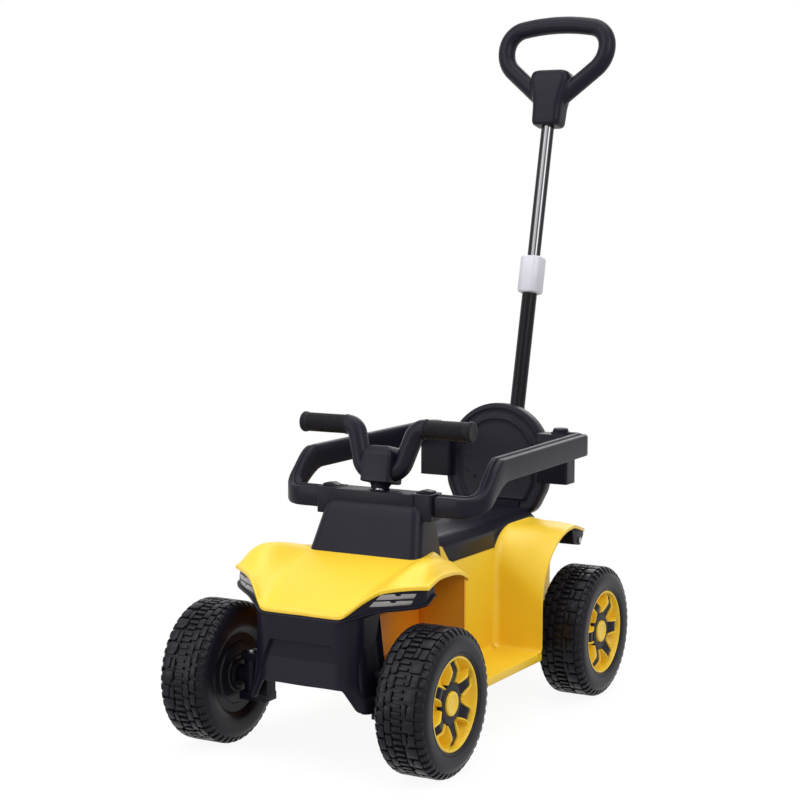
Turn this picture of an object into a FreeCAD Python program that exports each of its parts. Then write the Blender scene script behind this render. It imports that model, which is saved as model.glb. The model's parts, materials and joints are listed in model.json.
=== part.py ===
import FreeCAD, Part
import math
import os
from types import SimpleNamespace
import Sketcher
from FreeCAD import Placement, Rotation, Vector

# Toddler's ride-on quad with a parent's push pole. It faces -Y, its left side is +X,
# and it stands on z = 0. Driving dimensions are in millimetres and degrees.
SIZES = {
    # wheels and axles
    "wheel_radius": 90.0,
    "tyre_width": 68.0,
    "track": 306.0,
    "wheelbase": 442.0,
    "front_axle_y": -297.1,
    "crown_width": 44.0,
    "tread_depth": 2.5,
    "tread_groove": 3.0,
    "tyre_wall": 4.5,
    "lug_count": 34,
    "rim_radius": 57.5,
    "rim_inset": 2.7,
    "rim_wall": 3.0,
    "bead_step": 2.5,
    "rim_flange": 5.0,
    "dish_depth": 22.0,
    "hub_radius": 16.0,
    "spoke_count": 6,
    "spoke_width": 16.0,
    "trim_width": 11.0,
    "trim_height": 3.0,
    "cap_radius": 12.0,
    "cap_depth": 6.5,
    "axle_radius": 5.0,
    "axle_reach": 21.5,
    "axle_end": 0.7,
    "nut_radius": 8.5,
    "nut_height": 3.0,
    "sleeve_radius": 8.0,
    "sleeve_start": 12.0,
    "web_inset": 4.0,
    "web_thickness": 5.0,
    "running_clearance": 0.08,
    "gap": 0.3,
    # body
    "wall": 3.0,
    "body_width": 140.0,
    "ground_clearance": 66.0,
    "board_height": 12.0,
    "board_width": 280.0,
    "deck_height": 216.0,
    "front_well_gap": 43.0,
    "rear_well_gap": 21.0,
    "tail_length": 83.0,
    "front_wall_width": 252.0,
    "fender_top": 242.0,
    "fender_lip": 232.0,
    "fender_tail_z": 219.0,
    "fender_tail": 68.0,
    "bracket_width": 23.0,
    "bracket_inset": 17.0,
    "neck_width": 124.0,
    "neck_top": 178.0,
    "neck_setback": 5.0,
    # hood, lamps and bumper
    "nose_y": -52.0,
    "nose_z": 190.0,
    "nose_width": 106.0,
    "hood_rise": 46.5,
    "hood_back_z": 240.0,
    "hood_width": 260.0,
    "crest_x": 100.0,
    "crest_z": 246.0,
    "crest_drop": 26.0,
    "crest_fall": 10.0,
    "valley_x": 50.0,
    "lip_z": 214.0,
    "lamp_floor": 193.0,
    "shelf_height": 6.0,
    "bumper_width": 150.0,
    "bumper_bottom": 96.0,
    "lobe_bottom": 75.0,
    "lobe_flare": 14.0,
    "lobe_height": 33.0,
    "lobe_knee": 17.0,
    "bumper_wall": 7.0,
    "crease_z": 147.0,
    "panel_recess": 3.5,
    "screw_radius": 1.8,
    "screw_head": 4.2,
    # cowl, seat and backrest
    "cowl_width": 168.0,
    "cowl_top_width": 140.0,
    "cowl_corner": 12.0,
    "cowl_round": 11.0,
    "cowl_top": 303.0,
    "cowl_depth": 82.0,
    "cowl_top_depth": 50.0,
    "seat_height": 34.0,
    "seat_rear_gap": 21.0,
    "backrest_width": 158.0,
    "backrest_lift": 24.0,
    "backrest_height": 157.0,
    "backrest_depth": 20.0,
    "backrest_lean": 5.0,
    "backrest_border": 13.0,
    # guard rail
    "guard_width": 288.0,
    "guard_flare": 6.0,
    "guard_bar": 18.0,
    "guard_front_height": 26.0,
    "guard_height": 30.0,
    "guard_rise": 46.0,
    "guard_lip": 2.5,
    "bridge_half": 84.0,
    "plug_length": 20.0,
    "plug_clearance": 0.5,
    "socket_width": 33.0,
    "button_radius": 11.0,
    "button_travel": 4.0,
    "latch_length": 22.0,
    "latch_width": 14.0,
    "latch_travel": 3.0,
    # steering
    "kingpin_radius": 4.0,
    "kingpin_inset": 15.0,
    "beam_width": 100.0,
    "beam_front": 16.0,
    "beam_back": 14.0,
    "beam_arm": 24.0,
    "beam_plate": 10.0,
    "beam_web": 12.0,
    "knuckle_height": 40.0,
    "steer_arm": 30.0,
    "pivot_pin": 3.0,
    "pivot_clearance": 0.15,
    "tie_thickness": 5.0,
    "column_radius": 6.0,
    "column_lean": 12.0,
    "column_setback": 140.0,
    "column_z": 320.0,
    "bush_radius": 12.0,
    "stem_width": 40.0,
    "stem_depth": 34.0,
    "stem_height": 44.0,
    "bar_radius": 12.5,
    "bar_base": 18.0,
    "bar_rise": 57.0,
    "grip_radius": 12.0,
    "grip_start": 57.0,
    "grip_length": 68.5,
    "grip_ribs": 14,
    # push pole
    "pole_lean": 13.2,
    "pole_setback": 58.0,
    "flange_width": 48.0,
    "lower_radius": 11.0,
    "upper_radius": 9.5,
    "tube_wall": 1.2,
    "collar_start": 343.0,
    "collar_length": 55.0,
    "collar_width": 36.0,
    "handle_start": 596.0,
    "handle_block": 84.0,
    "handle_reach": 156.0,
    "handle_width": 184.0,
    "handle_radius": 13.0,
    "handle_crown": 5.0,
    "handle_drop": 46.0,
}

doc = FreeCAD.newDocument("push_quad")
sheet = doc.addObject("Spreadsheet::Sheet", "Sizes")
for row, (alias, value) in enumerate(SIZES.items(), start=1):
    sheet.set(f"A{row}", alias)
    sheet.set(f"B{row}", str(value))
    sheet.setAlias(f"B{row}", alias)
doc.recompute()
s = SimpleNamespace(**{alias: float(sheet.get(alias)) for alias in SIZES})
nodes = []

# Places that several pieces share, worked out from the sheet.
front_y = s.front_axle_y
rear_y = front_y + s.wheelbase
axle_z = s.wheel_radius
wheel_x = s.track / 2
tyre_in = wheel_x - s.tyre_width / 2
kingpin_x = tyre_in - s.kingpin_inset
half_body = s.body_width / 2
front_wall = front_y + s.wheel_radius + s.front_well_gap
hood_back = front_wall + s.wall
rear_wall = rear_y - s.wheel_radius - s.rear_well_gap
body_back = rear_y + s.tail_length
nose_y = front_y + s.nose_y
bumper_inner = nose_y + s.bumper_wall
column_y = front_y + s.column_setback
lean = math.radians(s.column_lean)
column_frame = Placement(Vector(0, column_y, s.column_z), Rotation(Vector(1, 0, 0), -s.column_lean))
pole_foot = Vector(0, rear_y + s.pole_setback, s.deck_height)
pole_frame = Placement(pole_foot, Rotation(Vector(1, 0, 0), -s.pole_lean))
guard_y = column_y - 4
guard_low = s.cowl_top - 17
guard_low_top = guard_low + s.guard_front_height
guard_top = guard_low_top + s.guard_rise
guard_back = rear_y + 40
backrest_base = s.deck_height + s.backrest_lift
outer_x = s.guard_width / 2
crank_z = axle_z + 10
neck_floor = axle_z + 34
tie_low = axle_z - s.knuckle_height / 2 + 8 + s.gap
tie_y = front_y + s.steer_arm
SIDES = (("left", 1), ("right", -1))


def keep(obj, label):
    obj.Label = label
    nodes.append(obj)
    return obj


def solid(label, shape, placement=Placement()):
    feature = doc.addObject("Part::Feature", label)
    feature.Shape = shape
    feature.Placement = placement
    return keep(feature, label)


def mirrored(shape):
    return shape.mirror(Vector(0, 0, 0), Vector(1, 0, 0))


def pair(shape):
    return Part.makeCompound([shape, mirrored(shape)])


def handed(name, shape):
    solid(f"left_{name}", shape)
    solid(f"right_{name}", mirrored(shape))


# Solids from flat outlines. A corner is (a, b) or (a, b, radius).
AXES = {"xy": (Vector(1, 0, 0), Vector(0, 1, 0), Vector(0, 0, 1)),
        "xz": (Vector(1, 0, 0), Vector(0, 0, 1), Vector(0, 1, 0)),
        "yz": (Vector(0, 1, 0), Vector(0, 0, 1), Vector(1, 0, 0))}


def corner_arc(before, corner, after, radius):
    to_before = (before - corner).normalize()
    to_after = (after - corner).normalize()
    half = to_before.getAngle(to_after) / 2
    reach = radius / math.tan(half)
    middle = (to_before + to_after).normalize() * (radius / math.sin(half) - radius)
    return corner + to_before * reach, corner + middle, corner + to_after * reach


def path_edges(corners, radii, closed):
    count = len(corners)
    starts, ends, arcs = [], [], []
    for i, corner in enumerate(corners):
        inner = closed or 0 < i < count - 1
        if radii[i] > 0 and inner:
            first, middle, last = corner_arc(corners[i - 1], corner, corners[(i + 1) % count], radii[i])
            arcs.append(Part.Arc(first, middle, last).toShape())
        else:
            first, last = corner, corner
            arcs.append(None)
        starts.append(first)
        ends.append(last)
    edges = []
    for i in range(count if closed else count - 1):
        if arcs[i]:
            edges.append(arcs[i])
        following = starts[(i + 1) % count]
        if (following - ends[i]).Length > 1e-6:
            edges.append(Part.makeLine(ends[i], following))
    return edges


def outline(plane, points, level):
    a, b, normal = AXES[plane]
    corners = [a * p[0] + b * p[1] + normal * level for p in points]
    radii = [p[2] if len(p) > 2 else 0 for p in points]
    return Part.Wire(path_edges(corners, radii, True))


def slab(plane, points, low, high):
    return Part.Face(outline(plane, points, low)).extrude(AXES[plane][2] * (high - low))


def block(x0, x1, y0, y1, z0, z1, radius=0):
    return slab("xy", [(x0, y0, radius), (x1, y0, radius), (x1, y1, radius), (x0, y1, radius)], z0, z1)


def rounded_box(half_x, half_y, radius):
    return [(-half_x, -half_y, radius), (half_x, -half_y, radius),
            (half_x, half_y, radius), (-half_x, half_y, radius)]


def rod(radius, start, end, centre=(0, 0), axis="z"):
    a, b, normal = AXES[{"z": "xy", "y": "xz", "x": "yz"}[axis]]
    return Part.makeCylinder(radius, end - start, a * centre[0] + b * centre[1] + normal * start, normal)


def bent_tube(corners, radii, radius):
    path = Part.Wire(path_edges(corners, radii, False))
    first = corners[0]
    ring = Part.Wire(Part.makeCircle(radius, first, corners[1] - first))
    return path.makePipeShell([ring], True, False)


def placed(shape, placement):
    copy = shape.copy()
    copy.Placement = placement.multiply(copy.Placement)
    return copy


def symmetric(points):
    return points + [(-p[0],) + tuple(p[1:]) for p in reversed(points)]


def through(points, at):
    # The quadratic through three (place, height) points.
    (a, fa), (b, fb), (c, fc) = points
    return (fa * (at - b) * (at - c) / ((a - b) * (a - c))
            + fb * (at - a) * (at - c) / ((b - a) * (b - c))
            + fc * (at - a) * (at - b) / ((c - a) * (c - b)))


# Hood: a sheet over a smooth height field, with a flat middle and a raised crest above each front wheel.
cowl_front = hood_back - 129 + s.cowl_depth
centre_line = [(nose_y, s.nose_z), (cowl_front, s.nose_z + s.hood_rise), (hood_back, s.hood_back_z)]
crest_line = [(nose_y + 40, s.crest_z - s.crest_drop), (nose_y + 95, s.crest_z),
              (hood_back, s.crest_z - s.crest_fall)]
lip_line = [(nose_y + 54, s.lip_z + 5), (nose_y + 100, s.lip_z), (hood_back, s.lip_z + 8)]
half_hood = s.hood_width / 2


def hood_height(x, y):
    centre = through(centre_line, y)
    crest = through(crest_line, y)
    if abs(x) <= s.crest_x:
        share = max(0, (abs(x) - s.valley_x) / (s.crest_x - s.valley_x))
        return centre + (crest - centre) * share * share * (3 - 2 * share)
    share = (abs(x) - s.crest_x) / (half_hood - s.crest_x)
    return crest - max(0, crest - through(lip_line, y)) * share * share


def hood_surface():
    columns, rows = 31, 17
    reach = half_hood + 4
    front, back = nose_y - 4, hood_back + 4
    grid = []
    for i in range(columns):
        x = -reach + 2 * reach * i / (columns - 1)
        line = []
        for j in range(rows):
            y = front + (back - front) * j / (rows - 1)
            line.append(Vector(x, y, hood_height(x, y)))
        grid.append(line)
    surface = Part.BSplineSurface()
    surface.interpolate(grid)
    return surface.toShape()


hood_face = hood_surface()
column_hole = placed(rod(s.bush_radius, -250, 20), column_frame)
under_hood = hood_face.extrude(Vector(0, 0, -200))
above_lining = hood_face.translated(Vector(0, 0, -s.wall)).extrude(Vector(0, 0, 150))
half_nose = s.nose_width / 2
lamp_in = (half_nose + 31, nose_y + 28)
lamp_out = (half_hood, nose_y + 54)


def front_hood():
    plan = symmetric([(half_nose, nose_y, 14), (*lamp_in, 18), (*lamp_out, 8),
                      (half_hood, hood_back - 12, 10), (half_hood - 6, hood_back)])
    sheet_part = hood_face.extrude(Vector(0, 0, -s.wall)).common(slab("xy", plan, 100, 320))
    solid("front_hood", sheet_part.cut(column_hole))


# Headlights: a black housing in each front corner, with two silver bars let into its front face.
lamp_span = Vector(lamp_out[0] - lamp_in[0], lamp_out[1] - lamp_in[1], 0)
lamp_turn = Rotation(Vector(0, 0, 1), math.degrees(math.atan2(lamp_span.y, lamp_span.x)))
BAR_ROWS = ((0, 44, 10), (-7, 36, 2))


def lamp_bars():
    inset = 2.0
    bars = []
    for start, length, height in BAR_ROWS:
        bar = block(start + 5, start + 5 + length, inset - 1, inset + 2, height, height + 6)
        bar.Placement = Placement(Vector(lamp_in[0], lamp_in[1], s.lamp_floor), lamp_turn)
        bars.append(bar)
    return Part.makeCompound(bars)


def headlights():
    back = nose_y + 80
    plan = [(half_nose + 3, nose_y + 5), (lamp_in[0] + 1, lamp_in[1] + 3, 12),
            (lamp_out[0] - 2, lamp_out[1] + 2, 6), (half_hood - 2, back),
            (half_nose + 12, back), (half_nose + 3, nose_y + 30)]
    bars = lamp_bars()
    housing = slab("xy", plan, s.lamp_floor, s.lamp_floor + 60).cut(above_lining).cut(bars)
    handed("headlight", housing)
    handed("lamp_bars", bars)


# Bumper: a shell below the hood's nose with a recessed lower panel, a lobe at each side
# and a shelf under each lamp.
half_bumper = s.bumper_width / 2
bumper_back = nose_y + 60
screw_place = (nose_y + 36, s.bumper_bottom + 31)


def bumper_outline(inset):
    top = s.lamp_floor + 10
    lobe_low = s.lobe_bottom + inset
    side = half_bumper - inset
    flare = side + s.lobe_flare
    return symmetric([(side - 18, s.bumper_bottom + inset), (half_bumper - 9, lobe_low),
                      (flare - 2, lobe_low - 2, 6), (flare, s.lobe_bottom + s.lobe_knee),
                      (side, s.lobe_bottom + s.lobe_height), (side, top)])


def front_bumper():
    lobe = half_bumper + s.lobe_flare + 2
    plan = symmetric([(half_bumper - 20, nose_y, 24), (half_bumper + 4, nose_y + 14, 16),
                      (lobe, nose_y + 30), (lobe, bumper_back)])
    footprint = slab("xy", plan, 50, 260)
    outer = slab("xz", bumper_outline(0), nose_y - 1, bumper_back).common(footprint)
    inner = slab("xz", bumper_outline(s.wall), bumper_inner, bumper_back + 1)
    inner = inner.common(footprint.translated(Vector(0, s.bumper_wall, 0)))
    top = block(-200, 200, nose_y - 5, bumper_back + 5, s.lamp_floor, 300)
    panel = slab("xz", symmetric([(half_bumper - 8, 60), (half_bumper - 3, 100, 4), (46, s.crease_z, 8)]),
                 nose_y - 5, nose_y + s.panel_recess)
    shelf_low = s.lamp_floor - s.shelf_height
    shelf_back = nose_y + 80
    shelf = slab("xy", [(half_nose + 2, nose_y + 1), (lamp_in[0] + 2, lamp_in[1], 14),
                        (lamp_out[0] + 1, lamp_out[1], 8), (half_hood + 1, shelf_back),
                        (half_bumper - 5, shelf_back), (half_bumper - 5, bumper_back - 30)],
                 shelf_low, s.lamp_floor)
    shell = outer.cut(inner).cut(top).cut(panel).fuse(shelf).fuse(mirrored(shelf)).cut(above_lining)
    beam_room = block(-200, 200, front_y - s.beam_front - 1, bumper_back + 1, 0, neck_floor)
    return shell.cut(beam_room).cut(rod(s.screw_radius, -200, 200, screw_place, "x"))


# Main body: tunnel, neck, foot boards, front wall, seat shoulder and rear fenders, open underneath.
def fender_region(inset, x0, x1):
    wires = []
    for x, top, radius in ((x0, s.fender_top, 48), (x1, s.fender_lip, 98)):
        crown = rear_y - 2 + 0.1 * (x - half_body)
        tail_z = s.fender_tail_z - inset + (4 if x == x0 else 0)
        tail_y = rear_y + s.fender_tail + inset
        front = rear_wall + inset
        base = s.ground_clearance - inset
        points = [(front, base), (front, top - inset, radius - inset), (crown, top - inset, 60),
                  (tail_y, tail_z), (tail_y, base)]
        wires.append(outline("yz", points, x))
    return Part.makeLoft(wires, True, True)


def rear_fender():
    half_board = s.board_width / 2
    arch = fender_region(s.wall, half_body, half_board + 6)
    sheet_part = fender_region(0, half_body - s.wall, half_board + 2).cut(arch)
    tail_y = rear_y + s.fender_tail
    plan = [(half_body - s.wall, rear_wall - 5), (half_board, rear_wall - 5), (half_board, rear_y - 20, 80),
            (half_board - 18, tail_y, 8), (half_body - s.wall, tail_y)]
    return sheet_part.common(slab("xy", plan, 0, 400))


shoulder_rear = hood_back + 65
shoulder_slope = 31 / 34


def shoulder_edge(z):
    return shoulder_rear - (z - s.deck_height) * shoulder_slope


def footwell_boards():
    half_board = s.board_width / 2
    low, high = s.ground_clearance, s.ground_clearance + s.board_height
    outer = block(-half_board, half_board, front_wall, rear_wall + s.wall, low, high)
    inner = block(-half_board + s.wall, half_board - s.wall, hood_back, rear_wall, low - 1, high - s.wall)
    return outer.cut(inner)


def front_bulkhead():
    half_wall = s.front_wall_width / 2
    wall = block(-half_wall, half_wall, front_wall, hood_back, s.ground_clearance, s.hood_back_z + 20)
    half_neck = s.neck_width / 2
    floor = neck_floor
    front = bumper_inner + s.neck_setback
    neck = block(-half_neck, half_neck, front, hood_back, floor, s.neck_top)
    hollow = block(-half_neck + s.wall, half_neck - s.wall, front + s.wall, front_wall,
                   floor + s.wall, s.neck_top - s.wall)
    return wall.cut(above_lining), neck.cut(hollow)


def body_tunnel():
    low = s.ground_clearance
    outer = slab("xy", [(-half_body, front_wall), (half_body, front_wall), (half_body, body_back, 22),
                        (-half_body, body_back, 22)], low, s.deck_height)
    inside = half_body - s.wall
    inner = slab("xy", [(-inside, hood_back), (inside, hood_back), (inside, body_back - s.wall, 19),
                        (-inside, body_back - s.wall, 19)], low - 20, s.deck_height - s.wall)
    shoulder = slab("yz", [(hood_back, s.deck_height - s.wall), (hood_back, s.hood_back_z),
                           (shoulder_edge(s.hood_back_z), s.hood_back_z), (shoulder_rear, s.deck_height),
                           (shoulder_rear, s.deck_height - s.wall)], -half_body, half_body)
    return outer.fuse(shoulder), inner


def main_body():
    wall, neck = front_bulkhead()
    outer, inner = body_tunnel()
    fender = rear_fender()
    shape = outer.fuse([footwell_boards(), wall, fender, mirrored(fender)]).cut(inner)
    shape = shape.fuse(neck).removeSplitter()
    pole_hole = placed(rod(s.lower_radius + 4, -120, 40), pole_frame)
    axle_hole = rod(s.sleeve_radius, -half_body - 1, half_body + 1, (rear_y, axle_z), "x")
    screws = rod(s.screw_radius, -200, 200, screw_place, "x")
    for hole in (column_hole, pole_hole, axle_hole, screws):
        shape = shape.cut(hole)
    solid("main_body", shape)


# Seat: an open shell on the deck between the fenders, cut at the front along the shoulder's slope.
seat_rear = rear_y + s.seat_rear_gap


def seat_region(inset):
    top = s.deck_height + s.seat_height - inset
    base = s.deck_height - (inset > 0)
    half = half_body - inset
    across = symmetric([(half, base), (half - 2, top - 14, 10), (half - 16, top, 12)])
    slope_inset = inset * 1.5
    rear = seat_rear - inset
    along = slab("yz", [(shoulder_edge(base) + slope_inset, base), (shoulder_edge(top) + slope_inset, top),
                        (rear, top), (rear, base)], -half_body, half_body)
    return slab("xz", across, shoulder_rear - 60, seat_rear).common(along)


def seat():
    shell = seat_region(0).cut(seat_region(s.wall))
    for sign in (1, -1):
        edge = sign * (half_body - s.wall - s.gap)
        low, high = sorted((edge, sign * 100))
        shell = shell.cut(block(low, high, rear_wall - 2, rear_y + 120, 0, 400))
    solid("seat", shell)


# Backrest: a round-topped moulding with a raised border, standing on a foot behind the seat.
def backrest_slab(inset, low, high):
    half = s.backrest_width / 2 - inset
    base = backrest_base + inset
    top = backrest_base + s.backrest_height - inset
    half_outline = [(45 - inset, base), (half, base + 52 - inset, 40), (half, top, half - 0.5)]
    return slab("xz", symmetric(half_outline), low, high)


def backrest_shape():
    front = seat_rear + 1
    back = front + s.backrest_depth
    shell = backrest_slab(0, front, back).cut(backrest_slab(s.backrest_border, front - 1, front + s.wall))
    shell = shell.cut(backrest_slab(s.wall + 1, front + 2 * s.wall, back + 1))
    base = Vector(0, front, backrest_base)
    tilt = Placement(Vector(0, 0, 0), Rotation(Vector(1, 0, 0), -s.backrest_lean), base)
    envelope = placed(backrest_slab(0, front, back), tilt)
    foot = block(-40, 40, front, front + 16, s.deck_height, backrest_base + 18)
    return placed(shell, tilt).fuse(foot), envelope.fuse(foot)


backrest_solid, backrest_envelope = backrest_shape()


# Guard rail: a bridge on the cowl, sockets beside the backrest and an arm plugged into both on each side.
def bridge_envelope():
    low = s.cowl_top - 9
    bar = block(-60, 60, guard_y - s.guard_bar, guard_y + s.guard_bar, low, low + 20)
    ends = block(54, s.bridge_half, guard_y - 16, guard_y + 16, low - 13, low + 21, 3)
    eye = rod(s.bush_radius + 7, low, low + 20, (0, column_y - 3))
    return bar.fuse([ends, mirrored(ends), eye])


bridge_top = s.cowl_top + 12
latch_x = s.bridge_half - 15


def plug(clearance, x0, x1, y, z):
    half = s.guard_bar / 2 - 2 + clearance
    return block(x0, x1, y - half, y + half, z - 7 - clearance, z + 7 + clearance)


front_plug_z = guard_low + s.guard_front_height / 2 - 2
rear_plug_z = guard_top - 17
socket_out = s.backrest_width / 2 + 38
socket_y = guard_back - s.guard_bar / 2


def guard_bridge():
    pocket_end = s.bridge_half - s.plug_length - 1
    pocket = plug(s.plug_clearance, pocket_end, s.bridge_half + 1, guard_y, front_plug_z)
    recess = block(latch_x - s.latch_length / 2 - s.gap, latch_x + s.latch_length / 2 + s.gap,
                   guard_y - s.latch_width / 2 - s.gap, guard_y + s.latch_width / 2 + s.gap,
                   bridge_top - s.latch_travel - 1, bridge_top + 1)
    shape = bridge_envelope()
    for cutter in (pocket, mirrored(pocket), recess, mirrored(recess)):
        shape = shape.cut(cutter)
    solid("guard_bridge", shape.cut(column_hole))


def guard_latch():
    low = bridge_top - 0.8
    latch = slab("xz", [(latch_x - s.latch_length / 2, low), (latch_x + s.latch_length / 2, low),
                        (latch_x + s.latch_length / 2, low + 4, 2), (latch_x - 2, low + 5.5, 8),
                        (latch_x - s.latch_length / 2, low + 2, 1)],
                 guard_y - s.latch_width / 2, guard_y + s.latch_width / 2)
    handed("guard_latch", latch)


def guard_socket():
    top = guard_top
    y0, y1 = socket_y - 15, socket_y + 15
    shape = block(s.backrest_width / 2 - 10, socket_out, y0, y1, guard_top - 70, top, 3)
    button_x = socket_out - s.socket_width / 2
    ring = rod(s.button_radius + 2.5, top - 2, top + 3, (button_x, socket_y))
    bore = rod(s.button_radius + s.gap, top - 1 - s.button_travel, top + 4, (button_x, socket_y))
    pocket = plug(s.plug_clearance, socket_out - s.plug_length - 5, socket_out + 1, socket_y, rear_plug_z)
    handed("guard_socket", shape.fuse(ring).cut(bore).cut(pocket).cut(backrest_envelope))
    low = top - 0.7
    button = rod(s.button_radius, low, low + 7, (button_x, socket_y))
    cap = Part.makeCone(s.button_radius, s.button_radius - 2, 2, Vector(button_x, socket_y, low + 7))
    handed("guard_button", button.fuse(cap))


def guard_side(raise_top):
    # The arm's height seen from the side: low at the front, rising behind the bridge to a level run.
    top = guard_top + 2 + raise_top
    rise_start = guard_y + 8
    rise_end = rise_start + 48
    low_top = guard_low_top + raise_top
    points = [(guard_y - 40, guard_low), (rise_start - 1, guard_low, 24),
              (rise_end + 8, guard_top - s.guard_height - 2, 40), (guard_back + 10, top - s.guard_height),
              (guard_back + 10, top), (rise_end, top - 4, 16), (rise_start + 1, low_top, 22),
              (guard_y - 40, low_top)]
    return slab("yz", points, 40, 200)


def guard_plan(inset):
    half = s.guard_bar / 2
    y0, y1 = guard_y - half + inset, guard_y + half - inset
    x0, x1 = outer_x - s.guard_bar + inset, outer_x - inset
    b0, b1 = guard_back - s.guard_bar + inset, guard_back - inset
    start, end = s.bridge_half + s.gap, socket_out + s.gap
    flare = s.guard_flare
    points = [(start, y0), (x1 + flare, y0, 36), (x1, b1, 9), (end, b1), (end, b0), (x0, b0, 4),
              (x0 + flare, y1, 22), (start, y1)]
    return slab("xy", points, 200, 420)


def guard_arm():
    arm = guard_plan(0).common(guard_side(0)).fuse(guard_plan(3.5).common(guard_side(s.guard_lip)))
    front = plug(0, s.bridge_half - s.plug_length, s.bridge_half + 4, guard_y, front_plug_z)
    rear = plug(0, socket_out - s.plug_length - 4, socket_out + 4, socket_y, rear_plug_z)
    handed("guard_arm", arm.fuse([front, rear]))


# Steering cowl: a tapering cover with a rounded top, seated on the hood and cut out for the bridge.
def cowl_loft(inset, low, top):
    back = hood_back + 33 - inset
    front_low = back + inset - s.cowl_depth + inset
    front_top = back + inset - s.cowl_top_depth + inset
    share = 78.0
    wires = []
    for z in (low, top):
        k = (z - s.cowl_top + share) / share
        half = (s.cowl_width + (s.cowl_top_width - s.cowl_width) * k) / 2 - inset
        front = front_low + (front_top - front_low) * k
        points = symmetric([(half, front, s.cowl_corner - inset), (half - 6, back, s.cowl_corner - inset)])
        wires.append(outline("xy", points, z))
    return Part.makeLoft(wires, True, True)


def steering_cowl():
    low = s.deck_height + 4
    outer = cowl_loft(0, low, s.cowl_top)
    rim = [edge for edge in outer.Edges if edge.BoundBox.ZMin > s.cowl_top - 0.01]
    outer = outer.makeFillet(s.cowl_round, rim)
    shell = outer.cut(cowl_loft(s.wall, low - 1, s.cowl_top - 9))
    behind = block(-s.cowl_width, s.cowl_width, hood_back, rear_y, 0, s.hood_back_z)
    shell = shell.cut(under_hood).cut(behind).cut(bridge_envelope())
    solid("steering_cowl", shell.cut(column_hole))


# Steering: handlebar on a leaning column whose crank drives the tie rod's slot.
def crank_level(world_z, reach):
    return (world_z - s.column_z + reach * math.sin(lean)) / math.cos(lean)


def handlebar():
    top = s.stem_height + 3
    wires = []
    for inset, z in ((0, 3), (0, top - 7), (6, top)):
        half_x, half_y = s.stem_width / 2 - inset, s.stem_depth / 2 - inset
        wires.append(outline("xy", rounded_box(half_x, half_y, 5), z))
    stem = Part.makeLoft(wires, True, True).fuse(rod(14, -1.5, 4))
    low, rise = s.bar_base, s.bar_base + s.bar_rise
    knee = s.grip_start - 12
    tubes = []
    for sign in (1, -1):
        corners = [Vector(0, 0, low), Vector(sign * 27, 0, low), Vector(sign * knee, 0, rise),
                   Vector(sign * s.grip_start, 0, rise)]
        tubes.append(bent_tube(corners, [0, 18, 16, 0], s.bar_radius))
        core = sorted((sign * (s.grip_start - 6), sign * (s.grip_start + s.grip_length - 4)))
        tubes.append(rod(s.grip_radius - 3, *core, (0, rise), "x"))
    shape = stem.fuse(tubes).cut(rod(s.column_radius, -10, 36))
    solid("handlebar", shape, column_frame)


def grips():
    length, radius = s.grip_length, s.grip_radius
    core = radius - 3
    ribs = int(s.grip_ribs)
    pitch = (length - 12) / ribs
    points = [(core, 0), (radius + 1, 0), (radius + 1, 3)]
    for i in range(ribs):
        start = 3 + pitch * i
        points += [(radius - 0.5, start + 0.3 * pitch), (radius - 0.5, start + 0.6 * pitch),
                   (radius + 0.4, start + 0.7 * pitch), (radius + 0.4, start + pitch)]
    points += [(radius + 1.5, length - 5), (radius + 1.5, length - 1.5), (radius, length), (0, length),
               (0, length - 4), (core, length - 4)]
    profile = Part.Face(Part.makePolygon([Vector(r, 0, z) for r, z in points + points[:1]]))
    sleeve = profile.revolve(Vector(0, 0, 0), Vector(0, 0, 1), 360)
    for side, sign in SIDES:
        start = Vector(sign * s.grip_start, 0, s.bar_base + s.bar_rise)
        local = Placement(start, Rotation(Vector(0, 1, 0), 90 * sign))
        solid(f"{side}_grip", sleeve, column_frame.multiply(local))


def steering_column():
    arm_low = crank_level(crank_z, 0) - 3
    arm = block(-7, 7, -8, s.steer_arm + 7, arm_low, arm_low + 6, 6)
    pin_end = crank_level(tie_low - 2, s.steer_arm)
    pin = rod(s.pivot_pin, pin_end, arm_low + 3, (0, s.steer_arm))
    solid("steering_column", rod(s.column_radius, arm_low, 36).fuse([arm, pin]), column_frame)
    bore = rod(s.column_radius + s.running_clearance, -300, 100)
    upper = rod(s.bush_radius, -28, -7).cut(bore)
    floor = (neck_floor - s.column_z) / math.cos(lean)
    lower = rod(s.bush_radius, floor - 4, floor + 12).cut(bore)
    solid("column_bushes", Part.makeCompound([upper, lower]), column_frame)


def front_axle_beam():
    half_arm = s.beam_arm / 2
    reach = kingpin_x + half_arm
    half = s.knuckle_height / 2 + s.gap
    low, high = axle_z - half - s.beam_plate, axle_z + half + s.beam_plate - 1
    middle = block(-s.beam_width / 2, s.beam_width / 2, front_y - s.beam_front, front_y + s.beam_back,
                   axle_z + half, neck_floor, 3)
    web_end = kingpin_x - half_arm - 4
    web = block(web_end - s.beam_web, web_end, front_y - half_arm + 2, front_y + half_arm - 2, low, high)
    foot = block(web_end - s.beam_web, reach, front_y - half_arm, front_y + half_arm, low, axle_z - half)
    yoke = pair(web.fuse(foot))
    upper = block(-reach, reach, front_y - half_arm, front_y + half_arm, axle_z + half, high, 8)
    pin = rod(s.kingpin_radius, low - 2, high + 3, (kingpin_x, front_y))
    solid("front_axle_beam", middle.fuse([upper] + yoke.Solids).cut(pair(pin)))
    head = rod(s.kingpin_radius + 3, high, high + 3, (kingpin_x, front_y))
    solid("kingpins", pair(pin.fuse(head)))


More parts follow.
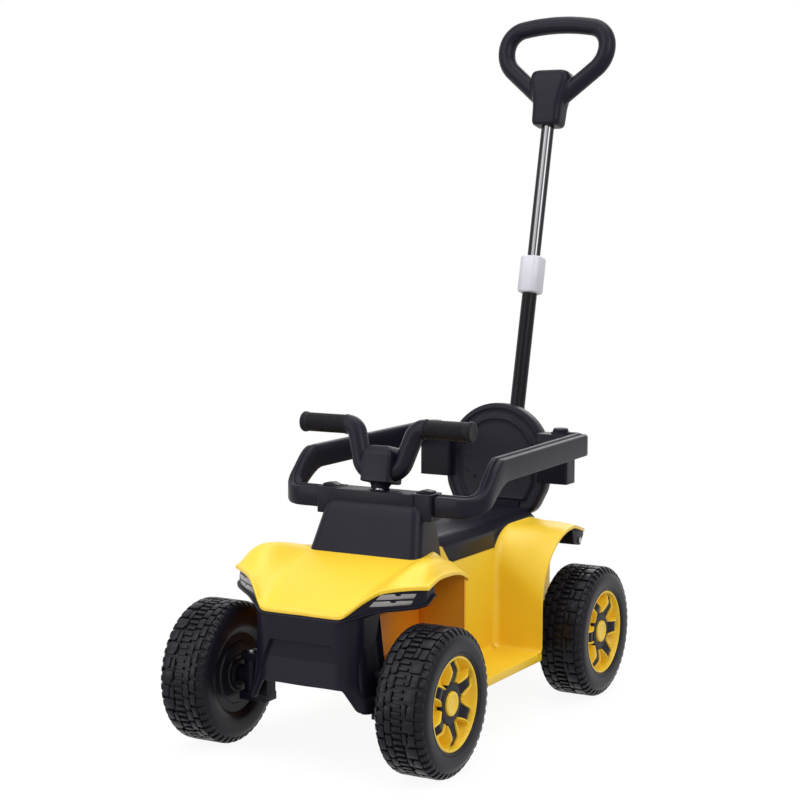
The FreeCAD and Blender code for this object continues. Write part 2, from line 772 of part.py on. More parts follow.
def knuckles():
    half = s.knuckle_height / 2
    barrel = rod(10, axle_z - half, axle_z + half, (kingpin_x, front_y))
    boss = rod(11, kingpin_x, tyre_in - 1, (front_y, axle_z), "x")
    nose = rod(7.5, tyre_in - 2, tyre_in + 2 - s.gap, (front_y, axle_z), "x")
    arm = block(kingpin_x - 7, kingpin_x + 7, front_y - 4, tie_y + 7, axle_z - half, axle_z - half + 8, 4)
    shape = barrel.fuse([boss, nose, arm])
    stub_start = kingpin_x + s.kingpin_radius + 1
    stub = rod(s.axle_radius, stub_start, wheel_x + s.axle_reach, (front_y, axle_z), "x")
    bore = rod(s.kingpin_radius + s.running_clearance, axle_z - 50, axle_z + 50, (kingpin_x, front_y))
    eye = rod(s.pivot_pin + s.pivot_clearance, axle_z - 50, axle_z + 50, (kingpin_x, tie_y))
    handed("knuckle", shape.cut(bore).cut(eye).cut(stub))
    nut_end = wheel_x + s.axle_reach - s.axle_end
    nut = rod(s.nut_radius, nut_end - s.nut_height, nut_end, (front_y, axle_z), "x").cut(stub)
    handed("stub_axle", Part.makeCompound([stub, nut]))


# Tie rod: a flat bar with a rearward tongue whose slot takes the crank pin, and a pivot pin at each end.
def tie_rod():
    slot_level = crank_level(tie_low + s.tie_thickness / 2, s.steer_arm)
    slot_y = column_frame.multVec(Vector(0, s.steer_arm, slot_level)).y
    reach = kingpin_x + 9
    body = doc.addObject("PartDesign::Body", "tie_rod_body")
    plan = [(-reach, tie_y - 8), (reach, tie_y - 8), (reach, tie_y + 8), (14, tie_y + 8),
            (14, slot_y + 9), (-14, slot_y + 9), (-14, tie_y + 8), (-reach, tie_y + 8)]
    plate = sketch_polygon(body, "plate", "XY_Plane", plan, tie_low)
    pad = body.newObject("PartDesign::Pad", "plate_pad")
    pad.Profile = plate
    pad.setExpression("Length", "Sizes.tie_thickness")
    slot = sketch_circles(body, "slot", [(0, slot_y)], "Sizes.pivot_pin + 1", tie_low)
    pocket = body.newObject("PartDesign::Pocket", "slot_pocket")
    pocket.Profile = slot
    pocket.Type = "ThroughAll"
    pocket.Midplane = True
    ends = [(kingpin_x, tie_y), (-kingpin_x, tie_y)]
    pins = sketch_circles(body, "pins", ends, "Sizes.pivot_pin", tie_low)
    pin_pad = body.newObject("PartDesign::Pad", "pin_pad")
    pin_pad.Profile = pins
    pin_pad.Reversed = True
    pin_pad.setExpression("Length", "10 + Sizes.gap")
    keep(body, "tie_rod")


def origin_plane(body, role):
    return next(item for item in body.Origin.OriginFeatures if item.Role == role)


def sketch_polygon(body, name, role, points, level=0.0):
    sketch = body.newObject("Sketcher::SketchObject", name)
    sketch.AttachmentSupport = [(origin_plane(body, role), "")]
    sketch.MapMode = "FlatFace"
    sketch.AttachmentOffset = Placement(Vector(0, 0, level), Rotation())
    count = len(points)
    places = []
    for x, y in points:
        places.append([sheet.evalExpression(c) if isinstance(c, str) else c for c in (x, y)])
    vectors = [Vector(float(x), float(y), 0) for x, y in places]
    for i in range(count):
        sketch.addGeometry(Part.LineSegment(vectors[i], vectors[(i + 1) % count]), False)
    for i in range(count):
        sketch.addConstraint(Sketcher.Constraint("Coincident", i, 2, (i + 1) % count, 1))
        across = ("DistanceX", points[i][0], vectors[i].x)
        up = ("DistanceY", points[i][1], vectors[i].y)
        for kind, text, value in (across, up):
            index = sketch.addConstraint(Sketcher.Constraint(kind, -1, 1, i, 1, value))
            if isinstance(text, str):
                sketch.setExpression(f"Constraints[{index}]", text)
    return sketch


def sketch_circles(body, name, centres, radius, level=0.0):
    sketch = body.newObject("Sketcher::SketchObject", name)
    sketch.AttachmentSupport = [(origin_plane(body, "XY_Plane"), "")]
    sketch.MapMode = "FlatFace"
    sketch.AttachmentOffset = Placement(Vector(0, 0, level), Rotation())
    size = float(sheet.evalExpression(radius))
    for i, (x, y) in enumerate(centres):
        sketch.addGeometry(Part.Circle(Vector(x, y, 0), Vector(0, 0, 1), size), False)
        sketch.addConstraint(Sketcher.Constraint("DistanceX", -1, 1, i, 3, x))
        sketch.addConstraint(Sketcher.Constraint("DistanceY", -1, 1, i, 3, y))
        index = sketch.addConstraint(Sketcher.Constraint("Radius", i, size))
        sketch.setExpression(f"Constraints[{index}]", radius)
    return sketch


# Wheels, modelled with the outboard side towards +Z and the tyre's middle at z = 0.
FACE = "(Sizes.tyre_width / 2 - Sizes.rim_inset)"
STOP = "(Sizes.axle_reach - Sizes.nut_height - 1)"
HUB_TOP = f"({STOP} + Sizes.cap_depth)"
DISH = f"({FACE} - Sizes.dish_depth)"
BACK = "(-Sizes.tyre_width / 2 + Sizes.web_inset + Sizes.web_thickness)"
BARREL = "(Sizes.rim_radius - Sizes.bead_step)"
INNER = f"({BARREL} - Sizes.rim_wall)"
SPOKE_TOP = f"({FACE} - Sizes.rim_flange)"
CAP_EDGE = "(Sizes.cap_radius + 3)"


def revolution(body, name, points):
    profile = sketch_polygon(body, name, "XZ_Plane", points)
    feature = body.newObject("PartDesign::Revolution", f"{name}_turn")
    feature.Profile = profile
    feature.ReferenceAxis = (profile, ["V_Axis"])
    feature.Angle = 360
    return feature


def spokes(body, name, x0, x1, width, low, height):
    points = [(x0, f"-{width} / 2"), (x1, f"-{width} / 2"), (x1, f"{width} / 2"), (x0, f"{width} / 2")]
    profile = sketch_polygon(body, name, "XY_Plane", points, float(sheet.evalExpression(low)))
    pad = body.newObject("PartDesign::Pad", f"{name}_pad")
    pad.Profile = profile
    pad.setExpression("Length", height)
    around = body.newObject("PartDesign::PolarPattern", f"{name}_pattern")
    around.Originals = [pad]
    around.Axis = (profile, ["N_Axis"])
    around.Angle = 360
    around.setExpression("Occurrences", "Sizes.spoke_count")
    body.Tip = around


def rim(name, placement):
    body = doc.addObject("PartDesign::Body", f"{name}_body")
    bore = "(Sizes.axle_radius + Sizes.running_clearance)"
    hub_back = "(-Sizes.tyre_width / 2 + 2)"
    dish_top = f"{DISH} + Sizes.rim_wall"
    revolution(body, f"{name}_barrel", [
        (bore, hub_back), (bore, STOP), ("Sizes.cap_radius", STOP), ("Sizes.cap_radius", HUB_TOP),
        ("Sizes.hub_radius", HUB_TOP), ("Sizes.hub_radius", dish_top), (INNER, dish_top), (INNER, FACE),
        ("Sizes.rim_radius", FACE), ("Sizes.rim_radius", SPOKE_TOP), (BARREL, SPOKE_TOP), (BARREL, BACK),
        (INNER, BACK), (INNER, DISH), ("Sizes.hub_radius", DISH), ("Sizes.hub_radius", hub_back)])
    spokes(body, f"{name}_spoke", f"{CAP_EDGE} + Sizes.gap", f"{INNER} + 1", "Sizes.spoke_width",
           f"{DISH} + 1", f"{SPOKE_TOP} - {DISH} - 1")
    body.Placement = placement
    keep(body, name)


def spoke_trim(name, placement):
    body = doc.addObject("PartDesign::Body", f"{name}_body")
    inner = f"({CAP_EDGE} + 1 + Sizes.gap)"
    top = f"({SPOKE_TOP} + Sizes.trim_height)"
    revolution(body, f"{name}_ring", [
        (inner, SPOKE_TOP), (f"{inner} + 6", SPOKE_TOP), (f"{inner} + 5", top), (inner, top)])
    spokes(body, f"{name}_arm", f"{inner} + 3", f"{INNER} - 2", "Sizes.trim_width",
           SPOKE_TOP, "Sizes.trim_height")
    body.Placement = placement
    keep(body, name)


def hub_cap(name, placement):
    body = doc.addObject("PartDesign::Body", f"{name}_body")
    revolution(body, f"{name}_cup", [
        ("Sizes.cap_radius - 2", STOP), ("Sizes.cap_radius", STOP), ("Sizes.cap_radius", HUB_TOP),
        (CAP_EDGE, HUB_TOP), (CAP_EDGE, f"{HUB_TOP} + 2.5"), (f"{CAP_EDGE} - 2", f"{HUB_TOP} + 4.5"),
        ("0", f"{HUB_TOP} + 5"), ("0", f"{HUB_TOP} + 2"), ("Sizes.cap_radius - 2", f"{HUB_TOP} + 2")])
    body.Placement = placement
    keep(body, name)


def tyre_shape():
    half, radius, crown = s.tyre_width / 2, s.wheel_radius, s.crown_width / 2
    barrel = s.rim_radius - s.bead_step
    side = (s.rim_radius + radius) / 2 - 2
    face = half - s.rim_inset

    def at(r, z):
        return Vector(r, 0, z)

    web_back = s.web_inset - half
    web_front = web_back + s.web_thickness
    edges = [Part.makeLine(at(barrel, face - s.rim_flange), at(barrel, web_front)),
             Part.makeLine(at(barrel, web_front), at(s.hub_radius, web_front)),
             Part.makeLine(at(s.hub_radius, web_front), at(s.hub_radius, web_back)),
             Part.makeLine(at(s.hub_radius, web_back), at(barrel, web_back)),
             Part.makeLine(at(barrel, web_back), at(barrel, 3 - half)),
             Part.Arc(at(barrel, 3 - half), at((barrel + side) / 2, 0.7 - half), at(side, -half)).toShape(),
             Part.Arc(at(side, -half), at(radius - 4.5, -half + 4.5), at(radius, -crown)).toShape(),
             Part.makeLine(at(radius, -crown), at(radius, crown)),
             Part.Arc(at(radius, crown), at(radius - 4.5, half - 4.5), at(side, half)).toShape(),
             Part.Arc(at(side, half), at(s.rim_radius + 4, half - 0.7),
                      at(s.rim_radius, half - 2)).toShape(),
             Part.makeLine(at(s.rim_radius, half - 2), at(s.rim_radius, face - s.rim_flange)),
             Part.makeLine(at(s.rim_radius, face - s.rim_flange), at(barrel, face - s.rim_flange))]
    ring = Part.Face(Part.Wire(edges)).revolve(Vector(0, 0, 0), Vector(0, 0, 1), 360)
    floor = radius - s.tread_depth
    grooves = []
    count = int(s.lug_count)
    for i in range(count):
        for start, end, shift in ((2, half, 0), (-half, -2, 0.5)):
            groove = block(floor, radius + 5, -s.tread_groove / 2, s.tread_groove / 2, start, end)
            turn = Rotation(Vector(0, 0, 1), 360 * (i + shift) / count)
            groove.Placement = Placement(Vector(0, 0, 0), turn)
            grooves.append(groove)
    band = rod(radius + 5, -1.2, 1.2).cut(rod(floor, -3, 3))
    hollow = rod(floor - s.tyre_wall, 2 * s.tyre_wall - half, face - s.rim_flange - s.tyre_wall)
    return ring.cut(grooves + [band, hollow])


def wheels():
    tyre = tyre_shape()
    for end, y, phase in (("front", front_y, 0), ("rear", rear_y, 30)):
        for side, sign in SIDES:
            turn = Rotation(Vector(0, 1, 0), 90 * sign).multiply(Rotation(Vector(0, 0, 1), phase))
            placement = Placement(Vector(sign * wheel_x, y, axle_z), turn)
            solid(f"{end}_{side}_tyre", tyre, placement)
            rim(f"{end}_{side}_rim", placement)
            spoke_trim(f"{end}_{side}_spoke_trim", placement)
            hub_cap(f"{end}_{side}_hub_cap", placement)


# Parts of turned stock: rods and tubes with their sizes bound to the sheet.
def cylinder(name, radius, length, placement):
    shape = doc.addObject("Part::Cylinder", name)
    shape.setExpression("Radius", radius)
    shape.setExpression("Height", length)
    shape.Placement = placement
    return shape


def tube(name, outer, inner, length, placement):
    cut = doc.addObject("Part::Cut", f"{name}_cut")
    cut.Base = cylinder(f"{name}_outside", outer, length, Placement())
    cut.Tool = cylinder(f"{name}_inside", inner, length, Placement())
    cut.Placement = placement
    return cut


def along_x(x, y, z):
    return Placement(Vector(x, y, z), Rotation(Vector(0, 1, 0), 90))


def rear_axle():
    axle_start = along_x(-wheel_x - s.axle_reach, rear_y, axle_z)
    axle_length = "Sizes.track + 2 * Sizes.axle_reach"
    keep(cylinder("axle", "Sizes.axle_radius", axle_length, axle_start), "rear_axle")
    sleeve_end = "(Sizes.track / 2 - Sizes.tyre_width / 2 + 2 - Sizes.gap)"
    sleeve_length = f"{sleeve_end} - Sizes.sleeve_start"
    nut_start = wheel_x + s.axle_reach - s.axle_end - s.nut_height
    turned = (("rear_axle_nuts", "Sizes.nut_radius", "Sizes.nut_height", nut_start),
              ("rear_axle_sleeves", "Sizes.sleeve_radius", sleeve_length, s.sleeve_start))
    for label, outer, length, x in turned:
        mirrored_x = -x - float(sheet.evalExpression(length))
        group = doc.addObject("Part::Compound", f"{label}_pair")
        tubes = []
        for side, place in (("left", x), ("right", mirrored_x)):
            start = along_x(place, rear_y, axle_z)
            tubes.append(tube(f"{label}_{side}", outer, "Sizes.axle_radius", length, start))
        group.Links = tubes
        keep(group, label)


def on_pole(distance):
    return pole_frame.multiply(Placement(Vector(0, 0, distance), Rotation()))


tube_base = -70.0


def push_pole():
    socket_radius = s.lower_radius + 4
    sleeve = rod(socket_radius, tube_base - 4, 46).cut(rod(s.lower_radius, tube_base, 50))
    half_flange = s.flange_width / 2
    front, back = pole_foot.y - 16, pole_foot.y + 22
    flange = block(-half_flange, half_flange, front, back, s.deck_height, s.deck_height + 5, 6)
    flange = flange.cut(placed(rod(s.lower_radius, -80, 60), pole_frame))
    solid("pole_socket", placed(sleeve, pole_frame).fuse(flange))
    upper_bore = "Sizes.upper_radius + Sizes.running_clearance"
    top = s.collar_start + s.collar_length - 12
    lower = tube("lower", "Sizes.lower_radius", upper_bore, f"{top - tube_base}", on_pole(tube_base))
    keep(lower, "lower_tube")
    half = s.collar_width / 2
    collar = block(-half, half, -half + 1, half - 1, s.collar_start, s.collar_start + s.collar_length, 10)
    collar = collar.cut(rod(s.lower_radius, 0, top)).cut(rod(s.upper_radius + s.gap, 0, 900))
    solid("tube_collar", collar, pole_frame)
    upper_start = s.collar_start - 43
    upper_end = s.handle_start + 44
    upper = tube("upper", "Sizes.upper_radius", "Sizes.upper_radius - Sizes.tube_wall",
                 f"{upper_end - upper_start}", on_pole(upper_start))
    keep(upper, "upper_tube")
    guide = rod(s.upper_radius - s.tube_wall, upper_start - 1, upper_start + 15)
    solid("tube_guide", guide.fuse(rod(s.upper_radius, upper_start - 4, upper_start)), pole_frame)
    push_handle(upper_end)


def push_handle(bore_end):
    start, end = s.handle_start, s.handle_start + s.handle_block
    sections = ((start, 22, 17, 9), (start + 30, 23, 19, 10), (end - 12, 31, 20, 10), (end, 28, 17, 8))
    wires = []
    for z, half_x, half_y, radius in sections:
        wires.append(outline("xy", rounded_box(half_x, half_y, radius), z))
    grip = Part.makeLoft(wires, True, True)
    half, top = s.handle_width / 2, start + s.handle_reach
    half_path = [(20, end - 32), (half, top - s.handle_drop), (half - 14, top - s.handle_crown)]
    corners = [Vector(-x, 0, z) for x, z in half_path] + [Vector(0, 0, top)]
    corners += [Vector(x, 0, z) for x, z in reversed(half_path)]
    loop = bent_tube(corners, [0, 30, 28, 500, 28, 30, 0], s.handle_radius)
    solid("push_handle", grip.fuse(loop).cut(rod(s.upper_radius, start - 1, bore_end)), pole_frame)


# Brackets under the fender tails, and the pan-head screws of bumper and brackets.
def tail_brackets():
    x1 = s.board_width / 2 - s.bracket_inset
    x0 = x1 - s.bracket_width
    y0, y1 = rear_y + 22, rear_y + s.fender_tail - 5
    low = s.fender_lip - 34
    shape = slab("yz", [(y0, s.fender_lip - 1), (y0 + 8, low + 4, 4), (y1 - 10, low, 5),
                        (y1, low + 14), (y1, s.fender_lip)], x0, x1)
    lining = fender_region(s.wall, half_body, s.board_width / 2 + 6)
    bracket = shape.common(lining)
    place = ((y0 + y1) / 2 + 6, low + 8)
    handed("tail_bracket", bracket.cut(rod(s.screw_radius, x1 - 8, x1 + 1, place, "x")))
    screw = rod(s.screw_radius, x1 - 8, x1, place, "x").fuse(rod(s.screw_head, x1, x1 + 2, place, "x"))
    solid("tail_screws", pair(screw))
    side = half_bumper
    start = s.neck_width / 2 - s.wall
    shank = rod(s.screw_radius, start, side, screw_place, "x")
    head = rod(s.screw_head, side, side + 2, screw_place, "x")
    solid("bumper_screws", pair(shank.fuse(head)))


def build():
    main_body()
    front_hood()
    headlights()
    solid("front_bumper", front_bumper())
    steering_cowl()
    seat()
    solid("backrest", backrest_solid)
    guard_bridge()
    guard_latch()
    guard_socket()
    guard_arm()
    handlebar()
    grips()
    steering_column()
    front_axle_beam()
    knuckles()
    tie_rod()
    wheels()
    rear_axle()
    push_pole()
    tail_brackets()
    doc.recompute()


build()
for item in doc.Objects:
    if "Invalid" in item.State or "Error" in item.State:
        raise RuntimeError(f"{item.Label} failed: {item.State}")
os.makedirs("parts", exist_ok=True)
box = FreeCAD.BoundBox()
for item in nodes:
    if item.Shape.isNull() or not item.Shape.isValid():
        raise RuntimeError(f"{item.Label} has no valid shape")
    box.add(item.Shape.optimalBoundingBox())
    item.Shape.exportStep(f"parts/{item.Label}.step")
print(f"{len(nodes)} nodes, {box.XLength:.1f} x {box.YLength:.1f} x {box.ZLength:.1f} mm")
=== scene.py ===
import json
import math

import bmesh
import bpy
from mathutils import Matrix, Vector


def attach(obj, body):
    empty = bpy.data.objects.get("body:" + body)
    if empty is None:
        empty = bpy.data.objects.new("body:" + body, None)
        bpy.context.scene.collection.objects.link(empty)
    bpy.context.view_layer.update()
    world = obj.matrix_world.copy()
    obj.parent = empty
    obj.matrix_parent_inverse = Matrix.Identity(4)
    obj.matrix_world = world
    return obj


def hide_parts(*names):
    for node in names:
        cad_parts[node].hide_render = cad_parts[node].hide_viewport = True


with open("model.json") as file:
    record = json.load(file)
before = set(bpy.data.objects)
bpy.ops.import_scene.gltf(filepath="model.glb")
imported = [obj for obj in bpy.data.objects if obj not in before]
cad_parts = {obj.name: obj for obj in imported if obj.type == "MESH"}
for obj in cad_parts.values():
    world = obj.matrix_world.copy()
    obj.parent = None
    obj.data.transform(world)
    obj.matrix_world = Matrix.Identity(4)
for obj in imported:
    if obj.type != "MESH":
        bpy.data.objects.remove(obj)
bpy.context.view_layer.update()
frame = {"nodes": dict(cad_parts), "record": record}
scene = bpy.context.scene
mm = 0.001
print("frame loaded:", len(frame["nodes"]), "nodes")


# shader helpers
def addNode(tree, kind, inputs=None, **settings):
    # a node with its settings; an input takes a plain value or another node's output
    node = tree.nodes.new("ShaderNode" + kind)
    for name, value in settings.items():
        setattr(node, name, value)
    for name, value in (inputs or {}).items():
        if isinstance(value, bpy.types.NodeSocket):
            tree.links.new(value, node.inputs[name])
        else:
            node.inputs[name].default_value = value
    return node


def startGroup(name, inputs, outputs):
    # an empty node group with named sockets; returns it with the sockets that its nodes start from and end in
    group = bpy.data.node_groups.new(name, "ShaderNodeTree")
    for label, (kind, value) in inputs.items():
        made = group.interface.new_socket(name=label, in_out="INPUT", socket_type="NodeSocket" + kind)
        made.default_value = value
    for label, kind in outputs.items():
        group.interface.new_socket(name=label, in_out="OUTPUT", socket_type="NodeSocket" + kind)
    return group, group.nodes.new("NodeGroupInput").outputs, group.nodes.new("NodeGroupOutput").inputs


# moulded plastic, with a painted orange shade in the hollow under the hood; that hollow is in metres, from
# two places along Y and the limits there
skin = {
    "clouds": {"Scale": 14, "Detail": 3}, "cloudRange": (0.3, 0.7), "drift": {"Scale": 45, "Detail": 4},
    "grainDetail": 2, "grainDistance": 0.0003, "paintedShade": (1.0, 0.50, 0.34, 1),
    "ceiling": (-0.26, -0.20, 0.182, 0.214), "sides": (-0.23, -0.21, 0.10, 0.13),
    "bulkhead": (-0.1636, -0.1628),
}


def makeMouldedSkin():
    # faint tone clouds, a roughness drift, a fine moulded grain, and painted shade: an orange tint in the
    # hollow under the hood
    group, given, result = startGroup("mouldedSkin", {
        "Color": ("Color", (0.5, 0.5, 0.5, 1)), "Tone": ("Float", 0.1), "Painted Shade": ("Float", 0.0),
        "Grain Scale": ("Float", 900), "Gloss Low": ("Float", 0.35), "Gloss High": ("Float", 0.45),
    }, {"Color": "Color", "Roughness": "Float", "Height": "Float"})
    place = addNode(group, "TexCoord").outputs["Object"]

    def noise(values):
        return addNode(group, "TexNoise", {"Vector": place, **values}).outputs["Fac"]

    def ranged(value, low, high, toLow, toHigh):
        return addNode(group, "MapRange", {"Value": value, "From Min": low, "From Max": high, "To Min": toLow,
                                           "To Max": toHigh}).outputs["Result"]

    def worked(operation, first, second):
        return addNode(group, "Math", {0: first, 1: second}, operation=operation).outputs[0]

    def vectors(operation, inputs):
        return addNode(group, "VectorMath", inputs, operation=operation).outputs["Vector"]

    darkest = worked("SUBTRACT", 1, given["Tone"])
    shade = ranged(noise(skin["clouds"]), *skin["cloudRange"], darkest, 1)
    tint = vectors("SCALE", {0: given["Color"], "Scale": shade})
    # the hollow under the hood, found by place; there the colour is multiplied towards orange as painted
    # shade
    x, y, z = addNode(group, "SeparateXYZ", {"Vector": place}).outputs
    under = worked("LESS_THAN", z, ranged(y, *skin["ceiling"]))
    inside = worked("LESS_THAN", worked("ABSOLUTE", x, 0), ranged(y, *skin["sides"]))
    ahead = worked("MULTIPLY", ranged(y, *skin["bulkhead"], 1, 0), given["Painted Shade"])
    share = worked("MULTIPLY", worked("MULTIPLY", under, inside), ahead)
    paintedShade = addNode(group, "Mix", {"Factor": share, "A": tint, "B": skin["paintedShade"]}, data_type="RGBA",
                   blend_type="MULTIPLY")
    group.links.new(paintedShade.outputs["Result"], result["Color"])
    gloss = ranged(noise(skin["drift"]), 0, 1, given["Gloss Low"], given["Gloss High"])
    group.links.new(gloss, result["Roughness"])
    grain = noise({"Scale": given["Grain Scale"], "Detail": skin["grainDetail"]})
    group.links.new(grain, result["Height"])
    return group


def mouldedMaterial(name, color, tone, gloss, grain, depth, specular=0.5, metallic=0.0, shadeUnderHood=0.0):
    material = bpy.data.materials.new(name)
    material.use_nodes = True
    material.diffuse_color = (*color, 1)
    tree = material.node_tree
    shader = tree.nodes["Principled BSDF"]
    shader.inputs["Specular IOR Level"].default_value = specular
    shader.inputs["Metallic"].default_value = metallic
    layer = addNode(tree, "Group", {
        "Color": (*color, 1), "Tone": tone, "Painted Shade": shadeUnderHood, "Grain Scale": grain, "Gloss Low": gloss[0],
        "Gloss High": gloss[1],
    }, node_tree=mouldedSkin).outputs
    bump = addNode(tree, "Bump", {"Strength": depth, "Distance": skin["grainDistance"],
                                  "Height": layer["Height"]})
    tree.links.new(layer["Color"], shader.inputs["Base Color"])
    tree.links.new(layer["Roughness"], shader.inputs["Roughness"])
    tree.links.new(bump.outputs["Normal"], shader.inputs["Normal"])
    return material


# one finish for each of the record's slots: linear colour, roughness range as gloss, bump strength as depth,
# and how much of the painted orange shade under the hood it takes
finishes = {
    # the yellow takes the full painted shade under the hood
    "yellow_plastic": {"name": "yellowPlastic", "color": (0.88, 0.575, 0.026), "tone": 0.05,
                       "gloss": (0.34, 0.42), "grain": 1400, "depth": 0.10, "shadeUnderHood": 1.0},
    "black_plastic": {"name": "charcoalPlastic", "color": (0.0098, 0.0093, 0.0172), "tone": 0.15,
                      "gloss": (0.30, 0.38), "grain": 1500, "depth": 0.18, "specular": 0.12},
    "tyre_rubber": {"name": "tyreBlack", "color": (0.0090, 0.0086, 0.0135), "tone": 0.2,
                    "gloss": (0.28, 0.38), "grain": 1200, "depth": 0.20, "specular": 0.15},
    "grip_rubber": {"name": "gripBlack", "color": (0.0082, 0.0078, 0.0115), "tone": 0.2,
                    "gloss": (0.38, 0.48), "grain": 1500, "depth": 0.20, "specular": 0.12},
    "white_plastic": {"name": "collarWhite", "color": (0.56, 0.555, 0.62), "tone": 0.04,
                      "gloss": (0.30, 0.38), "grain": 1400, "depth": 0.08},
    "silver_trim": {"name": "lampSilver", "color": (0.30, 0.28, 0.28), "tone": 0.15,
                    "gloss": (0.22, 0.32), "grain": 900, "depth": 0.06, "metallic": 0.85},
    "black_tube": {"name": "tubeBlack", "color": (0.0022, 0.0020, 0.0040), "tone": 0.1,
                   "gloss": (0.20, 0.28), "grain": 1600, "depth": 0.08, "specular": 0.16},
    "chrome_tube": {"name": "tubeChrome", "color": (0.13, 0.13, 0.14), "tone": 0.1,
                    "gloss": (0.10, 0.16), "grain": 1200, "depth": 0.03, "metallic": 1.0},
    "zinc_steel": {"name": "zincSteel", "color": (0.50, 0.50, 0.52), "tone": 0.2,
                   "gloss": (0.25, 0.40), "grain": 900, "depth": 0.08, "metallic": 1.0},
}
mouldedSkin = makeMouldedSkin()
finish = {slot: mouldedMaterial(**values) for slot, values in finishes.items()}

# painted reflections: bright and dark bands in the polished tube's colour, as (place across it, brightness);
# its foot is in metres
sheen = {
    "foot": (0, 0.2029, 0.216), "lean": -13.2, "across": (0.87, 0.477, 0), "blue": 1.04,
    "bands": [(0, 0.021), (0.14, 0.03), (0.27, 0.05), (0.34, 0.42), (0.42, 0.50), (0.48, 0.10), (0.56, 0.05),
              (0.62, 0.30), (0.67, 0.08), (0.86, 0.02), (1, 0.031)],
}


def makeSheen():
    # painted reflection: bright and dark bands along a polished tube, laid by the side of its middle line
    # that a point is on
    group, given, result = startGroup("tubeSheen", {"Across": ("Vector", (1, 0, 0))}, {"Color": "Color"})
    place = addNode(group, "TexCoord").outputs["Object"]
    turn = (math.radians(sheen["lean"]), 0, 0)
    upright = addNode(group, "Mapping", {"Vector": place, "Location": sheen["foot"], "Rotation": turn},
                      vector_type="TEXTURE").outputs["Vector"]
    flat = addNode(group, "VectorMath", {0: upright, 1: (1, 1, 0)}, operation="MULTIPLY").outputs["Vector"]
    facing = addNode(group, "VectorMath", {0: flat}, operation="NORMALIZE").outputs["Vector"]
    side = addNode(group, "VectorMath", {0: facing, 1: given["Across"]}, operation="DOT_PRODUCT")
    share = addNode(group, "MapRange", {"Value": side.outputs["Value"], "From Min": -1}).outputs["Result"]
    ramp = addNode(group, "ValToRGB", {"Fac": share})
    stops = ramp.color_ramp.elements
    for at, level in sheen["bands"][1:-1]:
        stops.new(at)
    for stop, (at, level) in zip(stops, sheen["bands"]):
        stop.color = (level, level, sheen["blue"] * level, 1)
    group.links.new(ramp.outputs["Color"], result["Color"])
    return group


# the polished tube's base colour is replaced by the bands of painted reflection
polished = finish["chrome_tube"].node_tree
paintedReflection = addNode(polished, "Group", {"Across": sheen["across"]}, node_tree=makeSheen())
polished.links.new(paintedReflection.outputs["Color"], polished.nodes["Principled BSDF"].inputs["Base Color"])

slotOf = {part["node"]: part["material_slot"] for part in frame["record"]["subparts"]}
for name, node in frame["nodes"].items():
    node.data.materials.clear()
    node.data.materials.append(finish[slotOf[name]])
    node.data.set_sharp_from_angle(angle=math.radians(35))
print("finishes placed")


# shared builders, in millimetres
def addPiece(name, bm, slot, body, *nodes, angle=35):
    bmesh.ops.recalc_face_normals(bm, faces=bm.faces)
    bmesh.ops.scale(bm, vec=(mm, mm, mm), verts=bm.verts)
    mesh = bpy.data.meshes.new(name)
    bm.to_mesh(mesh)
    bm.free()
    mesh.polygons.foreach_set("use_smooth", [True] * len(mesh.polygons))
    mesh.set_sharp_from_angle(angle=math.radians(angle))
    mesh.materials.append(finish[slot])
    piece = bpy.data.objects.new(name, mesh)
    scene.collection.objects.link(piece)
    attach(piece, body)
    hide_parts(*nodes)
    return piece


def roundedPath(corners, closed, steps):
    # corners are (a, b) or (a, b, radius); each round corner becomes short chords
    points = []
    count = len(corners)
    for i, corner in enumerate(corners):
        here = Vector(corner[:2])
        radius = corner[2] if len(corner) > 2 else 0
        if radius == 0 or (not closed and i in (0, count - 1)):
            points.append(here)
            continue
        before = (Vector(corners[i - 1][:2]) - here).normalized()
        after = (Vector(corners[(i + 1) % count][:2]) - here).normalized()
        half = before.angle(after) / 2
        reach = radius / math.tan(half)
        centre = here + (before + after).normalized() * (radius / math.sin(half))
        first = here + before * reach - centre
        sweep = first.angle_signed(here + after * reach - centre)
        points += [centre + Matrix.Rotation(-sweep * k / steps, 2) @ first for k in range(steps + 1)]
    return points


def resample(points, count):
    # the same path with evenly spaced points
    lengths = [0.0]
    for a, b in zip(points, points[1:]):
        lengths.append(lengths[-1] + (b - a).length)
    made = []
    k = 0
    for i in range(count):
        want = lengths[-1] * i / (count - 1)
        while k < len(points) - 2 and lengths[k + 1] < want:
            k += 1
        span = max(1e-9, lengths[k + 1] - lengths[k])
        made.append(points[k].lerp(points[k + 1], (want - lengths[k]) / span))
    return made


def alongPath(path):
    # each point of a flat path, with the direction that the path runs in there
    last = len(path) - 1
    return [(p, (path[min(last, i + 1)] - path[max(0, i - 1)]).normalized()) for i, p in enumerate(path)]


def symmetric(points):
    return points + [(-p[0],) + tuple(p[1:]) for p in reversed(points)]


def curveAt(points, at):
    # a smooth curve through (place, value) points, level beyond the ends
    if at <= points[0][0]:
        return points[0][1]
    if at >= points[-1][0]:
        return points[-1][1]
    last = len(points) - 1
    i = next(k for k in range(last) if at <= points[k + 1][0])

    def slope(k):
        low, high = max(0, k - 1), min(last, k + 1)
        return (points[high][1] - points[low][1]) / (points[high][0] - points[low][0])

    span = points[i + 1][0] - points[i][0]
    t = (at - points[i][0]) / span
    start, end = points[i][1], points[i + 1][1]
    return (start * (1 + 2 * t) * (1 - t) ** 2 + slope(i) * span * t * (1 - t) ** 2
            + end * t * t * (3 - 2 * t) + slope(i + 1) * span * t * t * (t - 1))


def between(ends, share):
    return ends[0] + (ends[1] - ends[0]) * share


def smoothStep(t):
    t = min(1, max(0, t))
    return t * t * (3 - 2 * t)


def drawLoop(bm, points, closed=True):
    verts = [bm.verts.new(p) for p in points]
    ends = verts[1:] + verts[:1] if closed else verts[1:]
    return [bm.edges.new(pair) for pair in zip(verts, ends)]


